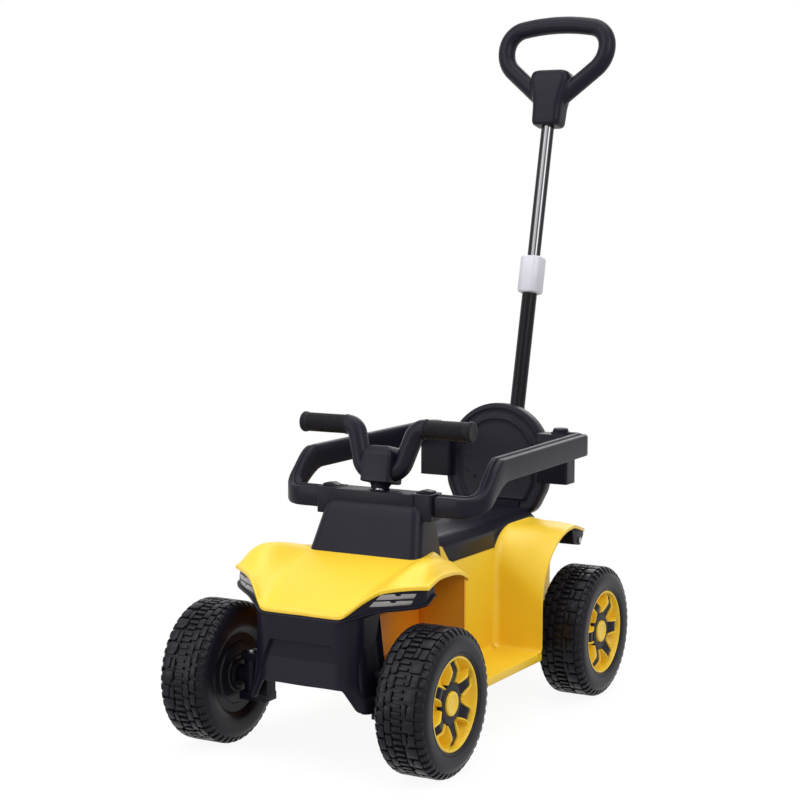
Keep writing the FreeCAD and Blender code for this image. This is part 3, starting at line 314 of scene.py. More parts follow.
def skinRings(bm, rings, closed=True):
    # extrudes the first ring to the place of each next one, and caps both ends of closed rings;
    # the first strip has no faces beside it to follow, so it is flipped to face the way the others will
    first = loop = drawLoop(bm, rings[0], closed)
    for ring in rings[1:]:
        grown = bmesh.ops.extrude_edge_only(bm, edges=loop, use_normal_flip=loop is first)["geom"]
        loop = [part for part in grown if isinstance(part, bmesh.types.BMEdge)]
        verts = [part for part in grown if isinstance(part, bmesh.types.BMVert)]
        for vert, point in zip(verts, ring):
            vert.co = point
    if closed:
        bmesh.ops.edgeloop_fill(bm, edges=first)
        bmesh.ops.edgeloop_fill(bm, edges=loop)


def turned(bm, profile, steps, closed=True):
    # a (radius, height) profile turned about Z
    edges = drawLoop(bm, [(r, 0, z) for r, z in profile], closed)
    bmesh.ops.spin(bm, geom=list(bm.verts) + edges, cent=(0, 0, 0), axis=(0, 0, 1), angle=2 * math.pi,
                   steps=steps, use_merge=True)
    bmesh.ops.remove_doubles(bm, verts=bm.verts, dist=0.0005)


def joinInto(bm, other):
    mesh = bpy.data.meshes.new("joined")
    other.to_mesh(mesh)
    other.free()
    bm.from_mesh(mesh)
    bpy.data.meshes.remove(mesh)


def spinCopies(bm, count):
    # repeats everything in the mesh evenly about Z
    geom = list(bm.faces) + list(bm.edges) + list(bm.verts)
    bmesh.ops.spin(bm, geom=geom, cent=(0, 0, 0), axis=(0, 0, 1), angle=2 * math.pi * (count - 1) / count,
                   steps=count - 1, use_duplicate=True)


def ringBox(half, depth, radius, steps):
    return roundedPath([(-half, -depth, radius), (half, -depth, radius), (half, depth, radius),
                        (-half, depth, radius)], True, steps)


def stackRings(bm, levels, steps):
    # round-cornered boxes on top of each other, from (height, half width, half depth, corner) levels
    skinRings(bm, [[(p.x, p.y, z) for p in ringBox(*box, steps)] for z, *box in levels])


def softBox(low, high, width, segments):
    # a box from its two corners, with rounded edges
    bm = bmesh.new()
    low, high = Vector(low), Vector(high)
    bmesh.ops.create_cube(bm, size=1)
    bmesh.ops.scale(bm, vec=high - low, verts=bm.verts)
    bmesh.ops.translate(bm, vec=(low + high) / 2, verts=bm.verts)
    softEdges(bm, width, segments)
    return bm


def tubeAlong(bm, path, radius, sides):
    # a round tube through the points of a path; its radius is a number or a function of the share along it
    rings = []
    up = None
    for i, point in enumerate(path):
        before = path[max(0, i - 1)]
        after = path[min(len(path) - 1, i + 1)]
        along = (after - before).normalized()
        if up is None:
            up = along.orthogonal().normalized()
        side = along.cross(up).normalized()
        up = side.cross(along).normalized()
        size = radius(i / (len(path) - 1)) if callable(radius) else radius
        rings.append([point + (up * math.cos(a) + side * math.sin(a)) * size
                      for a in (2 * math.pi * k / sides for k in range(sides))])
    skinRings(bm, rings)


def bevelEdges(bm, edges, width, segments):
    bmesh.ops.bevel(bm, geom=edges, offset=width, offset_type="OFFSET", affect="EDGES", segments=segments,
                    profile=0.5, clamp_overlap=True, material=-1)


def softEdges(bm, width, segments, angle=30):
    # rounds the edges sharper than the angle
    bmesh.ops.recalc_face_normals(bm, faces=bm.faces)
    limit = math.radians(angle)
    sharp = [e for e in bm.edges if len(e.link_faces) == 2 and e.calc_face_angle(0) > limit]
    bevelEdges(bm, sharp, width, segments)


def softCopy(node, width, segments, body, angle=25):
    # the solid's own mesh, merged flat and given rounded edges
    bm = bmesh.new()
    bm.from_mesh(frame["nodes"][node].data)
    bmesh.ops.transform(bm, matrix=frame["nodes"][node].matrix_world, verts=bm.verts)
    bmesh.ops.scale(bm, vec=(1 / mm, 1 / mm, 1 / mm), verts=bm.verts)
    bmesh.ops.remove_doubles(bm, verts=bm.verts, dist=0.01)
    bmesh.ops.dissolve_limit(bm, angle_limit=math.radians(1), verts=bm.verts, edges=bm.edges)
    softEdges(bm, width, segments, angle)
    addPiece(node + "Soft", bm, slotOf[node], body, node)


# wheels, built with the outboard side up and the tyre's middle at nought; profiles are (radius, height)
wheel = {
    "x": 153.0, "z": 90.0, "ends": {"front": (-297.1, 0), "rear": (144.9, 30)}, "steps": 120,
    "radius": 90.0, "half": 34.0, "crown": 22.0, "side": 71.75, "barrel": 55.0, "seat": 26.4,
    "outerBead": [(57.4, 26.4), (57.4, 31.4), (58.2, 32.3), (60.4, 32.9), (60.9, 32.4), (61.5, 32.4),
                  (62.0, 33.1), (66.5, 33.7)],
    "innerBead": [(66.0, -33.8), (60.0, -33.2), (56.2, -31.8), (55.0, -31.0)],
    "backPlate": [(52.0, -29.5), (50.0, -27.0), (40.0, -26.8), (38.0, -28.5), (24.0, -28.5), (22.5, -30.0),
                  (18.0, -30.0), (17.0, -30.6), (16.4, -33.2), (8.3, -33.2), (8.3, -32.1), (16.2, -32.1),
                  (16.2, -25.0), (55.0, -25.0)],
}

# tread blocks, as rows round the tyre: corners are (share of the pitch, place across)
tread = {
    "depth": 3.0, "root": 0.6, "round": 0.4,
    "rows": [
        {"count": 48, "shift": 0.0, "corners": [(0.14, 25.0), (0.14, 31.6), (0.66, 31.6), (0.66, 25.0)]},
        {"count": 16, "shift": 0.0, "corners": [(0.03, 13.0), (0.03, 23.6), (0.44, 23.6), (0.44, 9.0),
                                                (0.18, 9.0)]},
        {"count": 16, "shift": 0.5, "corners": [(0.03, 17.0), (0.03, 23.6), (0.42, 23.6), (0.42, 14.5),
                                                (0.12, 14.5)]},
        {"count": 16, "shift": 0.5, "corners": [(-0.02, 7.6), (0.02, 13.0), (0.36, 13.0), (0.42, 7.6)]},
        {"count": 64, "shift": 0.0, "corners": [(0.16, -5.6), (0.16, 6.2), (0.62, 6.2), (0.62, -5.6)]},
        {"count": 32, "shift": 0.2, "corners": [(0.05, -15.0), (0.05, -7.0), (0.78, -7.0), (0.90, -12.0),
                                                (0.78, -15.0)]},
        {"count": 32, "shift": 0.6, "corners": [(0.05, -23.6), (0.05, -16.4), (0.84, -16.4), (0.84, -23.6)]},
        {"count": 48, "shift": 0.0, "corners": [(0.14, -31.6), (0.14, -25.0), (0.66, -25.0), (0.66, -31.6)]},
    ],
}


def tyreRadius(w, depth=0.0):
    # the tyre's outside at a distance from its middle, or that much below it
    top = wheel["radius"] - depth
    past = (abs(w) - wheel["crown"]) / (wheel["half"] - wheel["crown"])
    if past <= 0:
        return top
    return wheel["side"] + (top - wheel["side"]) * math.sqrt(max(0, 1 - past * past))


def tyreCarcass(bm):
    edge = wheel["half"] - 0.1
    shoulder = [edge - (edge - wheel["crown"]) * (1 - math.cos(math.pi * k / 18)) for k in range(10)]
    across = shoulder + [-w for w in reversed(shoulder)]
    floor = [(tyreRadius(w, tread["depth"]), w) for w in across]
    profile = wheel["outerBead"] + floor + wheel["innerBead"] + wheel["backPlate"]
    turned(bm, profile + [(wheel["barrel"], wheel["seat"])], wheel["steps"])


def treadRow(count, shift, corners):
    # one block, drawn with short sides so that it follows the tyre, rounded and set round it
    bm = bmesh.new()
    outline = []
    for i, (a, w) in enumerate(corners):
        b, v = corners[(i + 1) % len(corners)]
        pieces = 3 if abs(b - a) > 0.25 else 2
        outline += [(a + (b - a) * k / pieces, w + (v - w) * k / pieces) for k in range(pieces)]

    def onTyre(share, w, radius):
        turn = (share + shift) * 2 * math.pi / count
        return Vector((radius * math.cos(turn), radius * math.sin(turn), w))

    sunk = drawLoop(bm, [onTyre(a, w, tyreRadius(w, tread["depth"]) - tread["root"]) for a, w in outline])
    crown = drawLoop(bm, [onTyre(a, w, tyreRadius(w)) for a, w in outline])
    bmesh.ops.bridge_loops(bm, edges=sunk + crown)
    top = bmesh.ops.edgeloop_fill(bm, edges=crown)["faces"]
    peak = bmesh.ops.poke(bm, faces=top)["verts"][0]
    middle = sum(w for a, w in outline) / len(outline)
    peak.co = onTyre(sum(a for a, w in outline) / len(outline), middle, tyreRadius(middle))
    bmesh.ops.recalc_face_normals(bm, faces=bm.faces)
    bevelEdges(bm, crown, tread["round"], 2)
    spinCopies(bm, count)
    return bm


def makeTyre():
    bm = bmesh.new()
    tyreCarcass(bm)
    for row in tread["rows"]:
        joinInto(bm, treadRow(**row))
    return bm


# rim, spoke inlays and cap: the spokes' heights and half widths are curves over the radius
rim = {
    "arms": 6, "ridge": 0.9, "sunk": 1.1, "gap": 0.15, "wide": 3.2, "floor": 14.0, "flare": (2.5, 47.0, 6.0),
    "profile": [(57.3, 26.4), (57.3, 30.0), (56.7, 30.9), (55.8, 31.2), (54.9, 31.2), (54.1, 30.7),
                (53.5, 29.4), (52.4, 24.5), (50.6, 19.5), (47.6, 16.4), (43.0, 15.2), (36.0, 15.6),
                (29.0, 17.4), (24.6, 19.6), (16.0, 19.6), (15.6, 20.0), (15.6, 23.4), (15.0, 24.0),
                (12.0, 24.0), (12.0, 17.5), (5.08, 17.5), (5.08, -31.6), (5.5, -32), (15.6, -32),
                (16.0, -31.6), (16.0, 9.3), (44.0, 9.3), (52.0, 14.0), (52.0, -24.9), (54.9, -24.9),
                (54.9, 26.4)],
    "arch": [(16, 24.4), (24, 25.6), (32, 28.4), (38.5, 30.3), (41, 30.3), (47.5, 27.2), (54, 25.0)],
    "yellowAt": [24.6, 28, 32, 36, 38.5, 41, 44, 47.5, 51, 53.6],
}
trim = {
    "ring": [(15.5, 19.8), (15.5, 25.0), (16.1, 25.7), (22.0, 25.8), (24.2, 25.2), (25.2, 23.8),
             (25.2, 19.8)],
    "half": [(17, 9.0), (25, 9.0), (31, 7.8), (40, 7.2), (48, 6.6), (52, 6.4)], "round": 0.6, "deep": 3.0,
    "at": [17, 21, 25, 28, 31, 35, 38.5, 41, 44, 47, 50.4, 51.6], "tip": (51.0, 0.82),
}
cap = {
    "steps": 64,
    "profile": [(0.0, 26.9), (7.5, 26.95), (9.0, 27.2), (10.2, 27.9), (11.2, 28.2), (13.2, 28.1),
                (14.4, 27.4), (15.0, 26.2), (15.0, 24.0), (12.0, 24.0), (12.0, 17.6), (10.0, 17.6),
                (10.0, 25.0), (0.0, 25.0)],
}


def spokedRing(profile, sections):
    # a turned ring with one spoke, given as its sections along the radius, repeated round it
    bm = bmesh.new()
    turned(bm, profile, wheel["steps"])
    arm = bmesh.new()
    skinRings(arm, sections)
    spinCopies(arm, rim["arms"])
    joinInto(bm, arm)
    return bm


def makeRim():
    sections = []
    most, start, length = rim["flare"]
    for r in rim["yellowAt"]:
        top = curveAt(rim["arch"], r)
        inner = curveAt(trim["half"], r) + rim["gap"]
        outer = inner + rim["wide"] + most * smoothStep((r - start) / length)
        half = [(outer, rim["floor"]), (outer - 0.8, top - 1.6), (outer - 1.3, top + 0.3),
                (outer - 1.8, top + rim["ridge"]), (inner + 0.5, top + rim["ridge"]), (inner, top + 0.3),
                (inner, top - 1.4)]
        sections.append([(r, s, w) for s, w in half] + [(r, -s, w) for s, w in reversed(half)])
    return spokedRing(rim["profile"], sections)


def makeTrim():
    sections = []
    soft, deep = trim["round"], trim["deep"]
    for r in trim["at"]:
        top = curveAt(rim["arch"], r) - rim["sunk"]
        half = curveAt(trim["half"], r) * (trim["tip"][1] if r > trim["tip"][0] else 1)
        sections.append([(r, -half, top - deep), (r, -half, top - soft), (r, -half + soft, top),
                         (r, half - soft, top), (r, half, top - soft), (r, half, top - deep)])
    return spokedRing(trim["ring"], sections)


def makeCap():
    bm = bmesh.new()
    turned(bm, cap["profile"], cap["steps"], False)
    return bm


def makeWheels():
    master = {"tyre": makeTyre(), "rim": makeRim(), "spoke_trim": makeTrim(), "hub_cap": makeCap()}
    for end, (y, phase) in wheel["ends"].items():
        for side, sign in (("left", 1), ("right", -1)):
            outward = Matrix.Rotation(sign * math.pi / 2, 4, "Y")
            spun = Matrix.Rotation(math.radians(phase), 4, "Z")
            place = Matrix.Translation((sign * wheel["x"], y, wheel["z"])) @ outward @ spun
            for kind, model in master.items():
                bm = model.copy()
                bmesh.ops.transform(bm, matrix=place, verts=bm.verts)
                node = f"{end}_{side}_{kind}"
                addPiece(node + "Piece", bm, slotOf[node], f"{end}_{side}_wheel", node, angle=28)
    for model in master.values():
        model.free()


makeWheels()
print("wheels made")


# hood: columns across, each from the front outline to the back edge; curves are over x or over y
hood = {
    "half": 139.0, "back": -161.1, "columns": 120, "rows": 66, "ease": 50.0, "straight": 0.35, "thick": 3.0,
    "front": [(0, -349.0), (52, -348.8), (61, -346.0), (92, -320.4), (111, -305.0), (130, -290.5),
              (136.5, -283.0), (139, -272.0)],
    "edge": [(0, 191.5), (52, 191.6), (61, 195.4), (76, 209.6), (92, 220.6), (104, 222.8), (120, 223.4),
             (139, 223.6)],
    "centre": [(-349.1, 191.5), (-330, 199.6), (-313, 206.2), (-290, 214.6), (-273, 220.4), (-240, 229.8),
               (-208, 236.4), (-161, 241.0)],
    "crest": [(-349.1, 196.0), (-330, 209.0), (-318, 218.0), (-304, 227.0), (-290, 234.5), (-275, 241.0),
              (-260, 245.8), (-245, 247.8), (-230, 247.0), (-207, 243.4), (-180, 237.0), (-161, 232.5)],
    "lip": [(-349.1, 222.0), (-272, 223.8), (-245, 224.6), (-215, 225.2), (-195, 224.6), (-178, 221.6),
            (-161, 214.5)],
    "valley": [(-349.1, 53), (-313, 61), (-273, 69), (-237, 76), (-161, 86)],
    "crestX": [(-349.1, 82), (-330, 90), (-318, 94), (-304, 102), (-285, 108), (-260, 111), (-200, 110),
               (-161, 103)],
    "sharp": [(-300, 4.4), (-260, 4.0), (-215, 3.0), (-161, 2.0)],
    "taper": [(-349.1, 1.0), (-272, 1.0), (-240, 0.985), (-200, 0.955), (-161, 0.932)],
    # the rolled edge, as (drop, way out), and how much of the way out counts at the front and at its corners
    "roll": [(0.12, 0.5), (0.45, 1.2), (1.0, 2.0), (1.7, 2.4), (2.6, 2.6), (5.5, 2.4), (5.8, 1.4),
             (5.1, -0.6), (3.1, -4.0)],
    "rollOut": 2.6, "rollAhead": (0.8, 0.5),
}


def hoodFront(x):
    # where the hood's top begins, behind its rolled edge
    return curveAt(hood["front"], abs(x)) + hood["rollOut"]


def hoodHeight(x, y):
    x = abs(x)
    centre, crest = curveAt(hood["centre"], y), curveAt(hood["crest"], y)
    valley, top = curveAt(hood["valley"], y), curveAt(hood["crestX"], y)
    if x <= valley:
        level = centre
    elif x <= top:
        t = (x - valley) / (top - valley)
        level = between((centre, crest), between((smoothStep(t), t), hood["straight"]))
    else:
        t = (x - top) / (hood["half"] - top)
        level = crest - max(0, crest - curveAt(hood["lip"], y)) * t ** curveAt(hood["sharp"], y)
    past = min(1, max(0, (y - curveAt(hood["front"], x)) / hood["ease"]))
    return between((level, curveAt(hood["edge"], x)), (1 - past) ** 3)


def makeHood():
    # the rolled edge is a quarter round that turns down at the front and at both sides
    bm = bmesh.new()
    edge = hood["half"] - hood["rollOut"]
    columns = [(-edge + 2 * edge * i / hood["columns"], 0, 0) for i in range(hood["columns"] + 1)]
    for drop, out in hood["roll"]:
        columns.insert(0, (-edge, drop, -out))
        columns.append((edge, drop, out))
    rings = []
    for x, drop, out in columns:
        front = hoodFront(x)
        ahead = hood["rollAhead"][0 if drop == 0 else 1]
        column = []
        for fall, forward in reversed(hood["roll"]):
            column.append((x + out, front - ahead * forward, hoodHeight(x, front) - max(drop, fall)))
        for j in range(hood["rows"] + 1):
            y = between((front, hood["back"]), j / hood["rows"])
            column.append(((x + out) * curveAt(hood["taper"], y), y, hoodHeight(x, y) - drop))
        wide, y, z = column[-1]
        column.append((wide, y, z - hood["thick"]))
        rings.append(column)
    skinRings(bm, rings, False)
    addPiece("hoodPiece", bm, "yellow_plastic", "body", "front_hood", angle=50)


makeHood()
print("hood made")


# nose outline, shared by the ledge below hood and lamps and by the lamp housings
nose = {
    "path": [(0, -349.6), (58, -349.6, 14), (92.5, -321.0, 16), (130.5, -290.6, 14), (137.8, -281.0, 8),
             (137.8, -260.0)],
    "stations": 96, "tail": (130.0, -282.0, 22.0, 8.0), "behind": (0.55, -258.0, 26.0, 8.0, 60.0),
    "level": [(0, 184.8), (52, 185.0), (61, 186.6), (74, 190.4), (84, 194.0), (97, 197.2), (115, 198.6),
              (130, 200.4), (138, 203.0)],
    "ledgeTop": [(0.0, -1.3), (0.4, -0.4), (1.5, 0.0), (6.0, 0.2)], "ledgeThick": 3.0,
    "ledgeUnder": [(5.0, -4.4), (1.6, -3.9), (0.5, -3.2), (0.0, -2.2)],
    "lampFrom": 50.0, "lampIn": 3.2, "lampShare": 0.35, "lampSteps": 6, "under": 3.4, "underMore": 2.0,
}
bumper = {
    "front": -349.1, "back": -289.1, "corner": (56.0, 25.0), "shoulder": (-331.0, 16.0), "lean": 0.5,
    "side": [(60, 86), (74, 88), (84, 87.5), (96, 80), (108, 75.5), (190, 75)], "levels": (60, 200),
    "top": 186.0, "columns": 90, "rows": 84, "wall": 3.0, "sill": (0.3, 0.5), "inside": (8.0, 1.8),
    "bottom": [(0, 100.0), (54, 100.0), (58, 97.5), (65, 80.0), (69, 74.5), (80, 72.0), (110, 72.0)],
    "sideRise": (7.0, -318.0, 26.0), "planLevel": 100,
    # the lower panel: its heights, half widths and depths at the top and the bottom, and its soft border
    "panelZ": (153.0, 98.0), "panelHalf": (43.0, 68.0), "panelDeep": (7.5, 2.0), "panelSoft": (2.2, 2.4),
}


def noseStations():
    # outline points of one side, the place behind each of them, and the ledge's level
    made = []
    tailX, tailY, tailLength, tailRise = nose["tail"]
    share, most, back, less, lessAt = nose["behind"]
    for p in resample(roundedPath(nose["path"], False, 10), nose["stations"]):
        past = smoothStep((p.y - tailY) / tailLength) if p.x > tailX else 0
        behind = Vector((p.x * share, min(most, p.y + back - less * min(1, p.x / lessAt))))
        made.append((p, behind, curveAt(nose["level"], p.x) + tailRise * past))
    return made


def makeLedge(bm):
    rings = []
    half = noseStations()
    for sign, row in ((-1, list(reversed(half))), (1, half[1:])):
        for p, behind, level in row:
            inward = (behind - p).normalized()
            ring = [(p + inward * v, level + z) for v, z in nose["ledgeTop"]]
            ring += [(behind, level), (behind, level - nose["ledgeThick"])]
            ring += [(p + inward * v, level + z) for v, z in nose["ledgeUnder"]]
            rings.append([(sign * q.x, q.y, z) for q, z in ring])
    skinRings(bm, rings)


def bumperPlan(z):
    side = curveAt(bumper["side"], z)
    corner, cornerRound = bumper["corner"]
    shoulder, shoulderRound = bumper["shoulder"]
    corners = [(0, bumper["front"]), (corner, bumper["front"], cornerRound), (side, shoulder, shoulderRound),
               (side + bumper["lean"], bumper["back"])]
    return resample(roundedPath(corners, False, 10), bumper["columns"] + 1)


def makeBumper():
    # a round-cornered shell with a leaning lower panel
    bm = bmesh.new()
    first, last = bumper["levels"]
    levels = {z: bumperPlan(z) for z in range(first, last + 1)}
    plan = levels[bumper["planLevel"]]
    high, low = bumper["panelZ"]
    softX, softZ = bumper["panelSoft"]

    def outer(i, z):
        base = min(last - 1, max(first, math.floor(z)))
        p = levels[base][i].lerp(levels[base + 1][i], min(1, max(0, z - base)))
        width = between(bumper["panelHalf"], (high - z) / (high - low))
        inside = smoothStep((width - p.x) / softX) * smoothStep((high - z) / softZ)
        depth = between(bumper["panelDeep"], min(1, (high - z) / (high - low)))
        return Vector((p.x, p.y + depth * inside, z))

    rise, riseAt, riseLength = bumper["sideRise"]
    sillIn, sillDown = bumper["sill"]
    foldUp, foldIn = bumper["inside"]
    sections = []
    for i, (p, along) in enumerate(alongPath(plan)):
        floor = curveAt(bumper["bottom"], p.x) + rise * smoothStep((p.y - riseAt) / riseLength)
        heights = [between((bumper["top"], floor), k / bumper["rows"]) for k in range(bumper["rows"] + 1)]
        outside = [outer(i, z) for z in heights]
        inward = Vector((-along.y, along.x, 0)) * bumper["wall"]
        foot = outside[-1]
        inside = [foot + inward * sillIn - Vector((0, 0, sillDown)), foot + inward,
                  foot + inward + Vector((0, 0, foldUp)), outside[0] + inward * foldIn]
        sections.append(outside + inside)
    rings = [[(-p.x, p.y, p.z) for p in ring] for ring in reversed(sections)]
    skinRings(bm, rings + sections[1:])
    makeLedge(bm)
    addPiece("bumperPiece", bm, "black_plastic", "body", "front_bumper", angle=35)


def lampRing(p, behind, level):
    # one section of a lamp housing, from its face back to the neck, always below the hood
    inward = (behind - p).normalized()
    face = p + inward * nose["lampIn"]
    lower = nose["under"] + nose["underMore"]
    top = max(level, hoodHeight(p.x, max(p.y, hoodFront(p.x))) - nose["under"])
    rear = max(level, min(top, hoodHeight(behind.x, behind.y) - lower))
    ring = [(face, level - 1), (face, between((level, top), nose["lampShare"])), (face + inward, top)]
    for k in range(1, nose["lampSteps"] + 1):
        share = k / nose["lampSteps"]
        q = (face + inward).lerp(behind, share)
        ring.append((q, max(level, min(between((top, rear), share), hoodHeight(q.x, q.y) - lower))))
    return ring + [(behind, level - 1)]


def makeLamps():
    stations = [station for station in noseStations() if station[0].x >= nose["lampFrom"]]
    for side, sign in (("left", 1), ("right", -1)):
        bm = bmesh.new()
        skinRings(bm, [[(sign * q.x, q.y, z) for q, z in lampRing(*station)] for station in stations])
        addPiece(side + "HeadlightPiece", bm, "black_plastic", "body", side + "_headlight", angle=40)


makeBumper()
makeLamps()
print("nose made")


# main body: tunnel, shoulder, bulkhead, neck, boards and rear fenders
shell = {
    "half": 70.0, "front": -164.1, "back": 227.9, "backRound": 22.0,
    "tunnel": [(1.0, 66.0), (0, 67.5), (0, 213.0), (0.9, 215.1), (3, 216.0)],
    "shoulder": [(-161.1, 212.0), (-161.1, 240.0), (-118.0, 240.0), (-96.1, 216.0), (-96.1, 212.0)],
    "shoulderRound": (3, 4),
    "boardHalf": 140.0, "boardTop": 78.0, "boardBack": 36.9, "boardRound": (5, 2),
    "board": [(2.0, 66.0), (0.5, 66.6), (0, 68.0), (0, 75.0), (0.8, 77.1), (3, 78.0)],
    "neck": ((-62.0, -342.0, 124.0), (62.0, -164.1, 178.0)), "neckRound": (3, 3),
    "wallHalf": 126.0, "wallLow": 67.0, "wallGap": 3.5, "wallSteps": 40, "wallSoft": 0.6,
    "boardFillet": 6.0, "wallFillet": 7.0, "wallFilletEnd": 6.0,
}
fender = {
    "front": 33.9, "crown": (142.9, 149.9), "crownRound": 60.0, "tail": 212.9, "foot": 7.0, "samples": 84,
    "columns": 46, "top": (240.0, 235.0), "round": (48.0, 98.0), "tailZ": (223.0, 219.0), "arch": 2.2,
    "outX": 140.0, "tailX": 123.0, "bend": 95.0,
    "fillet": 9.0, "filletSteps": 6, "filletFade": (0.75, 0.38, 0.2),
    "lip": [(0.6, -0.5), (1.8, 0.0), (4.0, -0.3), (3.5, -9.5), (3.2, -61.5)],
}


def filletStrip(bm, start, end, first, second, radius, steps=5):
    # a hollow quarter round along an inside corner
    start, end, first, second = Vector(start), Vector(end), Vector(first), Vector(second)
    rings = []
    for k in range(steps + 1):
        turn = math.pi / 2 * k / steps
        away = (first * (1 - math.cos(turn)) + second * (1 - math.sin(turn))) * radius
        rings.append([start + away, end + away])
    skinRings(bm, rings, False)


def fenderColumn(share):
    # the arch's outline at a share of the way out from the tunnel: points along it, and its outward normals
    fall = share ** fender["arch"]
    top, front, base, foot = between(fender["top"], fall), fender["front"], shell["boardTop"], fender["foot"]
    corners = [(front - foot - 1, base), (front, base, foot), (front, top, between(fender["round"], share)),
               (between(fender["crown"], share), top, fender["crownRound"]),
               (fender["tail"], between(fender["tailZ"], fall))]
    path = resample(roundedPath(corners, False, 16), fender["samples"])
    return [(p, Vector((-along.y, along.x))) for p, along in alongPath(path)]


def fenderOuter(y):
    past = max(0, (y - fender["bend"]) / (fender["tail"] - fender["bend"]))
    return between((fender["outX"], fender["tailX"]), past ** 2)


def makeFender(bm, sign):
    half, soft, steps = shell["half"], fender["fillet"], fender["filletSteps"]
    reach = fender["outX"] - half
    near = [soft * (1 - math.cos(math.pi / 2 * k / steps)) for k in range(steps + 1)]
    far = fender["columns"] - len(near)
    fade, fadeAt, fadeLength = fender["filletFade"]
    rings = []
    for dx in near + [between((soft, reach), (k + 1) / far) for k in range(far)]:
        rise = soft - math.sqrt(soft ** 2 - (soft - dx) ** 2) if dx < soft else 0
        ring = []
        for i, (p, normal) in enumerate(fenderColumn(dx / reach)):
            share = i / (fender["samples"] - 1)
            q = p + normal * rise * (1 - fade * smoothStep((share - fadeAt) / fadeLength))
            out = half + dx * (fenderOuter(p.x) - half) / reach
            ring.append((sign * out, q.x, q.y))
        rings.append(ring)
    for depth, out in fender["lip"]:
        ring = []
        for p, normal in fenderColumn(1):
            q = p - normal * depth
            ring.append((sign * (fenderOuter(p.x) + out), q.x, q.y))
        rings.append(ring)
    skinRings(bm, rings, False)


def makeShoulder():
    bm = bmesh.new()
    skinRings(bm, [[(x, y, z) for y, z in shell["shoulder"]] for x in (-shell["half"], shell["half"])])
    softEdges(bm, *shell["shoulderRound"])
    return bm


def makeBoards():
    bm = bmesh.new()
    wide, (frontRound, backRound) = shell["boardHalf"], shell["boardRound"]
    front, back = shell["front"], shell["boardBack"]
    plan = roundedPath([(-wide, front, frontRound), (wide, front, frontRound), (wide, back, backRound),
                        (-wide, back, backRound)], True, 5)
    skinRings(bm, [[(p.x - math.copysign(inset, p.x), p.y - math.copysign(inset, p.y), z) for p in plan]
                   for inset, z in shell["board"]])
    return bm


def makeBulkhead():
    # the wall behind the front wheels, closed at the top just under the hood
    bm = bmesh.new()
    front, back, soft, steps = shell["front"], hood["back"], shell["wallSoft"], shell["wallSteps"]
    rings = []
    for y, inset in ((front + soft, 0), (front, soft), (back, soft), (back - soft, 0)):
        reach = shell["wallHalf"] - inset
        ring = [(-reach, y, shell["wallLow"]), (reach, y, shell["wallLow"])]
        for k in range(steps + 1):
            x = between((reach, -reach), k / steps)
            ring.append((x, y, hoodHeight(x / hood["taper"][-1][1], y) - shell["wallGap"]))
        rings.append(ring)
    skinRings(bm, rings)
    return bm


def makeBody():
    bm = bmesh.new()
    half, back, top = shell["half"], hood["back"], shell["boardTop"]
    rings = []
    for inset, z in shell["tunnel"]:
        front, rear, side = shell["front"] + inset, shell["back"] - inset, half - inset
        corner = (rear, shell["backRound"])
        plan = [(-side, front), (side, front), (side, *corner), (-side, *corner)]
        rings.append([(p.x, p.y, z) for p in roundedPath(plan, True, 8)])
    skinRings(bm, rings)
    up, backward = (0, 0, 1), (0, 1, 0)
    wallTop = hoodHeight(half, back) - shell["wallFilletEnd"]
    for sign in (1, -1):
        makeFender(bm, sign)
        out = (sign, 0, 0)
        corner = (sign * half, back, top)
        filletStrip(bm, corner, (sign * half, fender["front"], top), out, up, shell["boardFillet"])
        filletStrip(bm, corner, (sign * shell["wallHalf"], back, top), up, backward, shell["boardFillet"])
        filletStrip(bm, corner, (sign * half, back, wallTop), out, backward, shell["wallFillet"])
    neck = softBox(*shell["neck"], *shell["neckRound"])
    for other in (makeShoulder(), makeBoards(), neck, makeBulkhead()):
        joinInto(bm, other)
    addPiece("bodyPiece", bm, "yellow_plastic", "body", "main_body", angle=38)


makeBody()
print("body made")


# steering cowl: a tapering cover with a soft top; pairs are at the bottom and at the top
cowl = {
    "low": 228.0, "top": 307.0, "span": 82.0, "half": (84.0, 70.0), "front": (-210.1, -178.1), "back": -128.1,
    "backIn": 6.0, "corner": (13.0, 4.0, 0.3), "round": 16.0, "topInset": 24.0, "steps": (6, 7),
}


def makeCowl():
    bm = bmesh.new()
    top, soft = cowl["top"], cowl["round"]
    sideSteps, roundSteps = cowl["steps"]
    levels = [(between((cowl["low"], top - soft), k / sideSteps), 0) for k in range(sideSteps + 1)]
    for k in range(1, roundSteps + 1):
        turn = math.pi / 2 * k / roundSteps
        levels.append((top - soft * (1 - math.sin(turn)), soft * (1 - math.cos(turn))))
    levels.append((top, cowl["topInset"]))
    corner, least, less = cowl["corner"]
    rings = []
    for z, inset in levels:
        share = (z - top + cowl["span"]) / cowl["span"]
        half = between(cowl["half"], share) - inset
        front = between(cowl["front"], share) + inset
        radius = max(least, corner - less * inset)
        plan = symmetric([(half, front, radius), (half - cowl["backIn"], cowl["back"] - inset, radius)])
        rings.append([(p.x, p.y, z) for p in roundedPath(plan, True, 8)])
    skinRings(bm, rings)
    addPiece("cowlPiece", bm, "black_plastic", "body", "steering_cowl")


makeCowl()
print("cowl made")


# lamp bars: two silver strips on each lamp, each with a notch in its upper edge
lamp = {
    "inner": (92.5, -321.0), "outer": (130.5, -290.6), "face": (2.2, 5.0), "round": (0.5, 2),
    "bars": [(208.8, [(-3, 0), (43, 0), (46.5, 6.4), (28, 6.4), (26.5, 4.2), (21.5, 4.2), (20, 6.4),
                      (3, 6.4)]),
             (200.8, [(-11, 0), (39, 0), (42.5, 6.2), (22, 6.2), (20.5, 4.2), (15.5, 4.2), (14, 6.2),
                      (-5, 6.2)])],
}


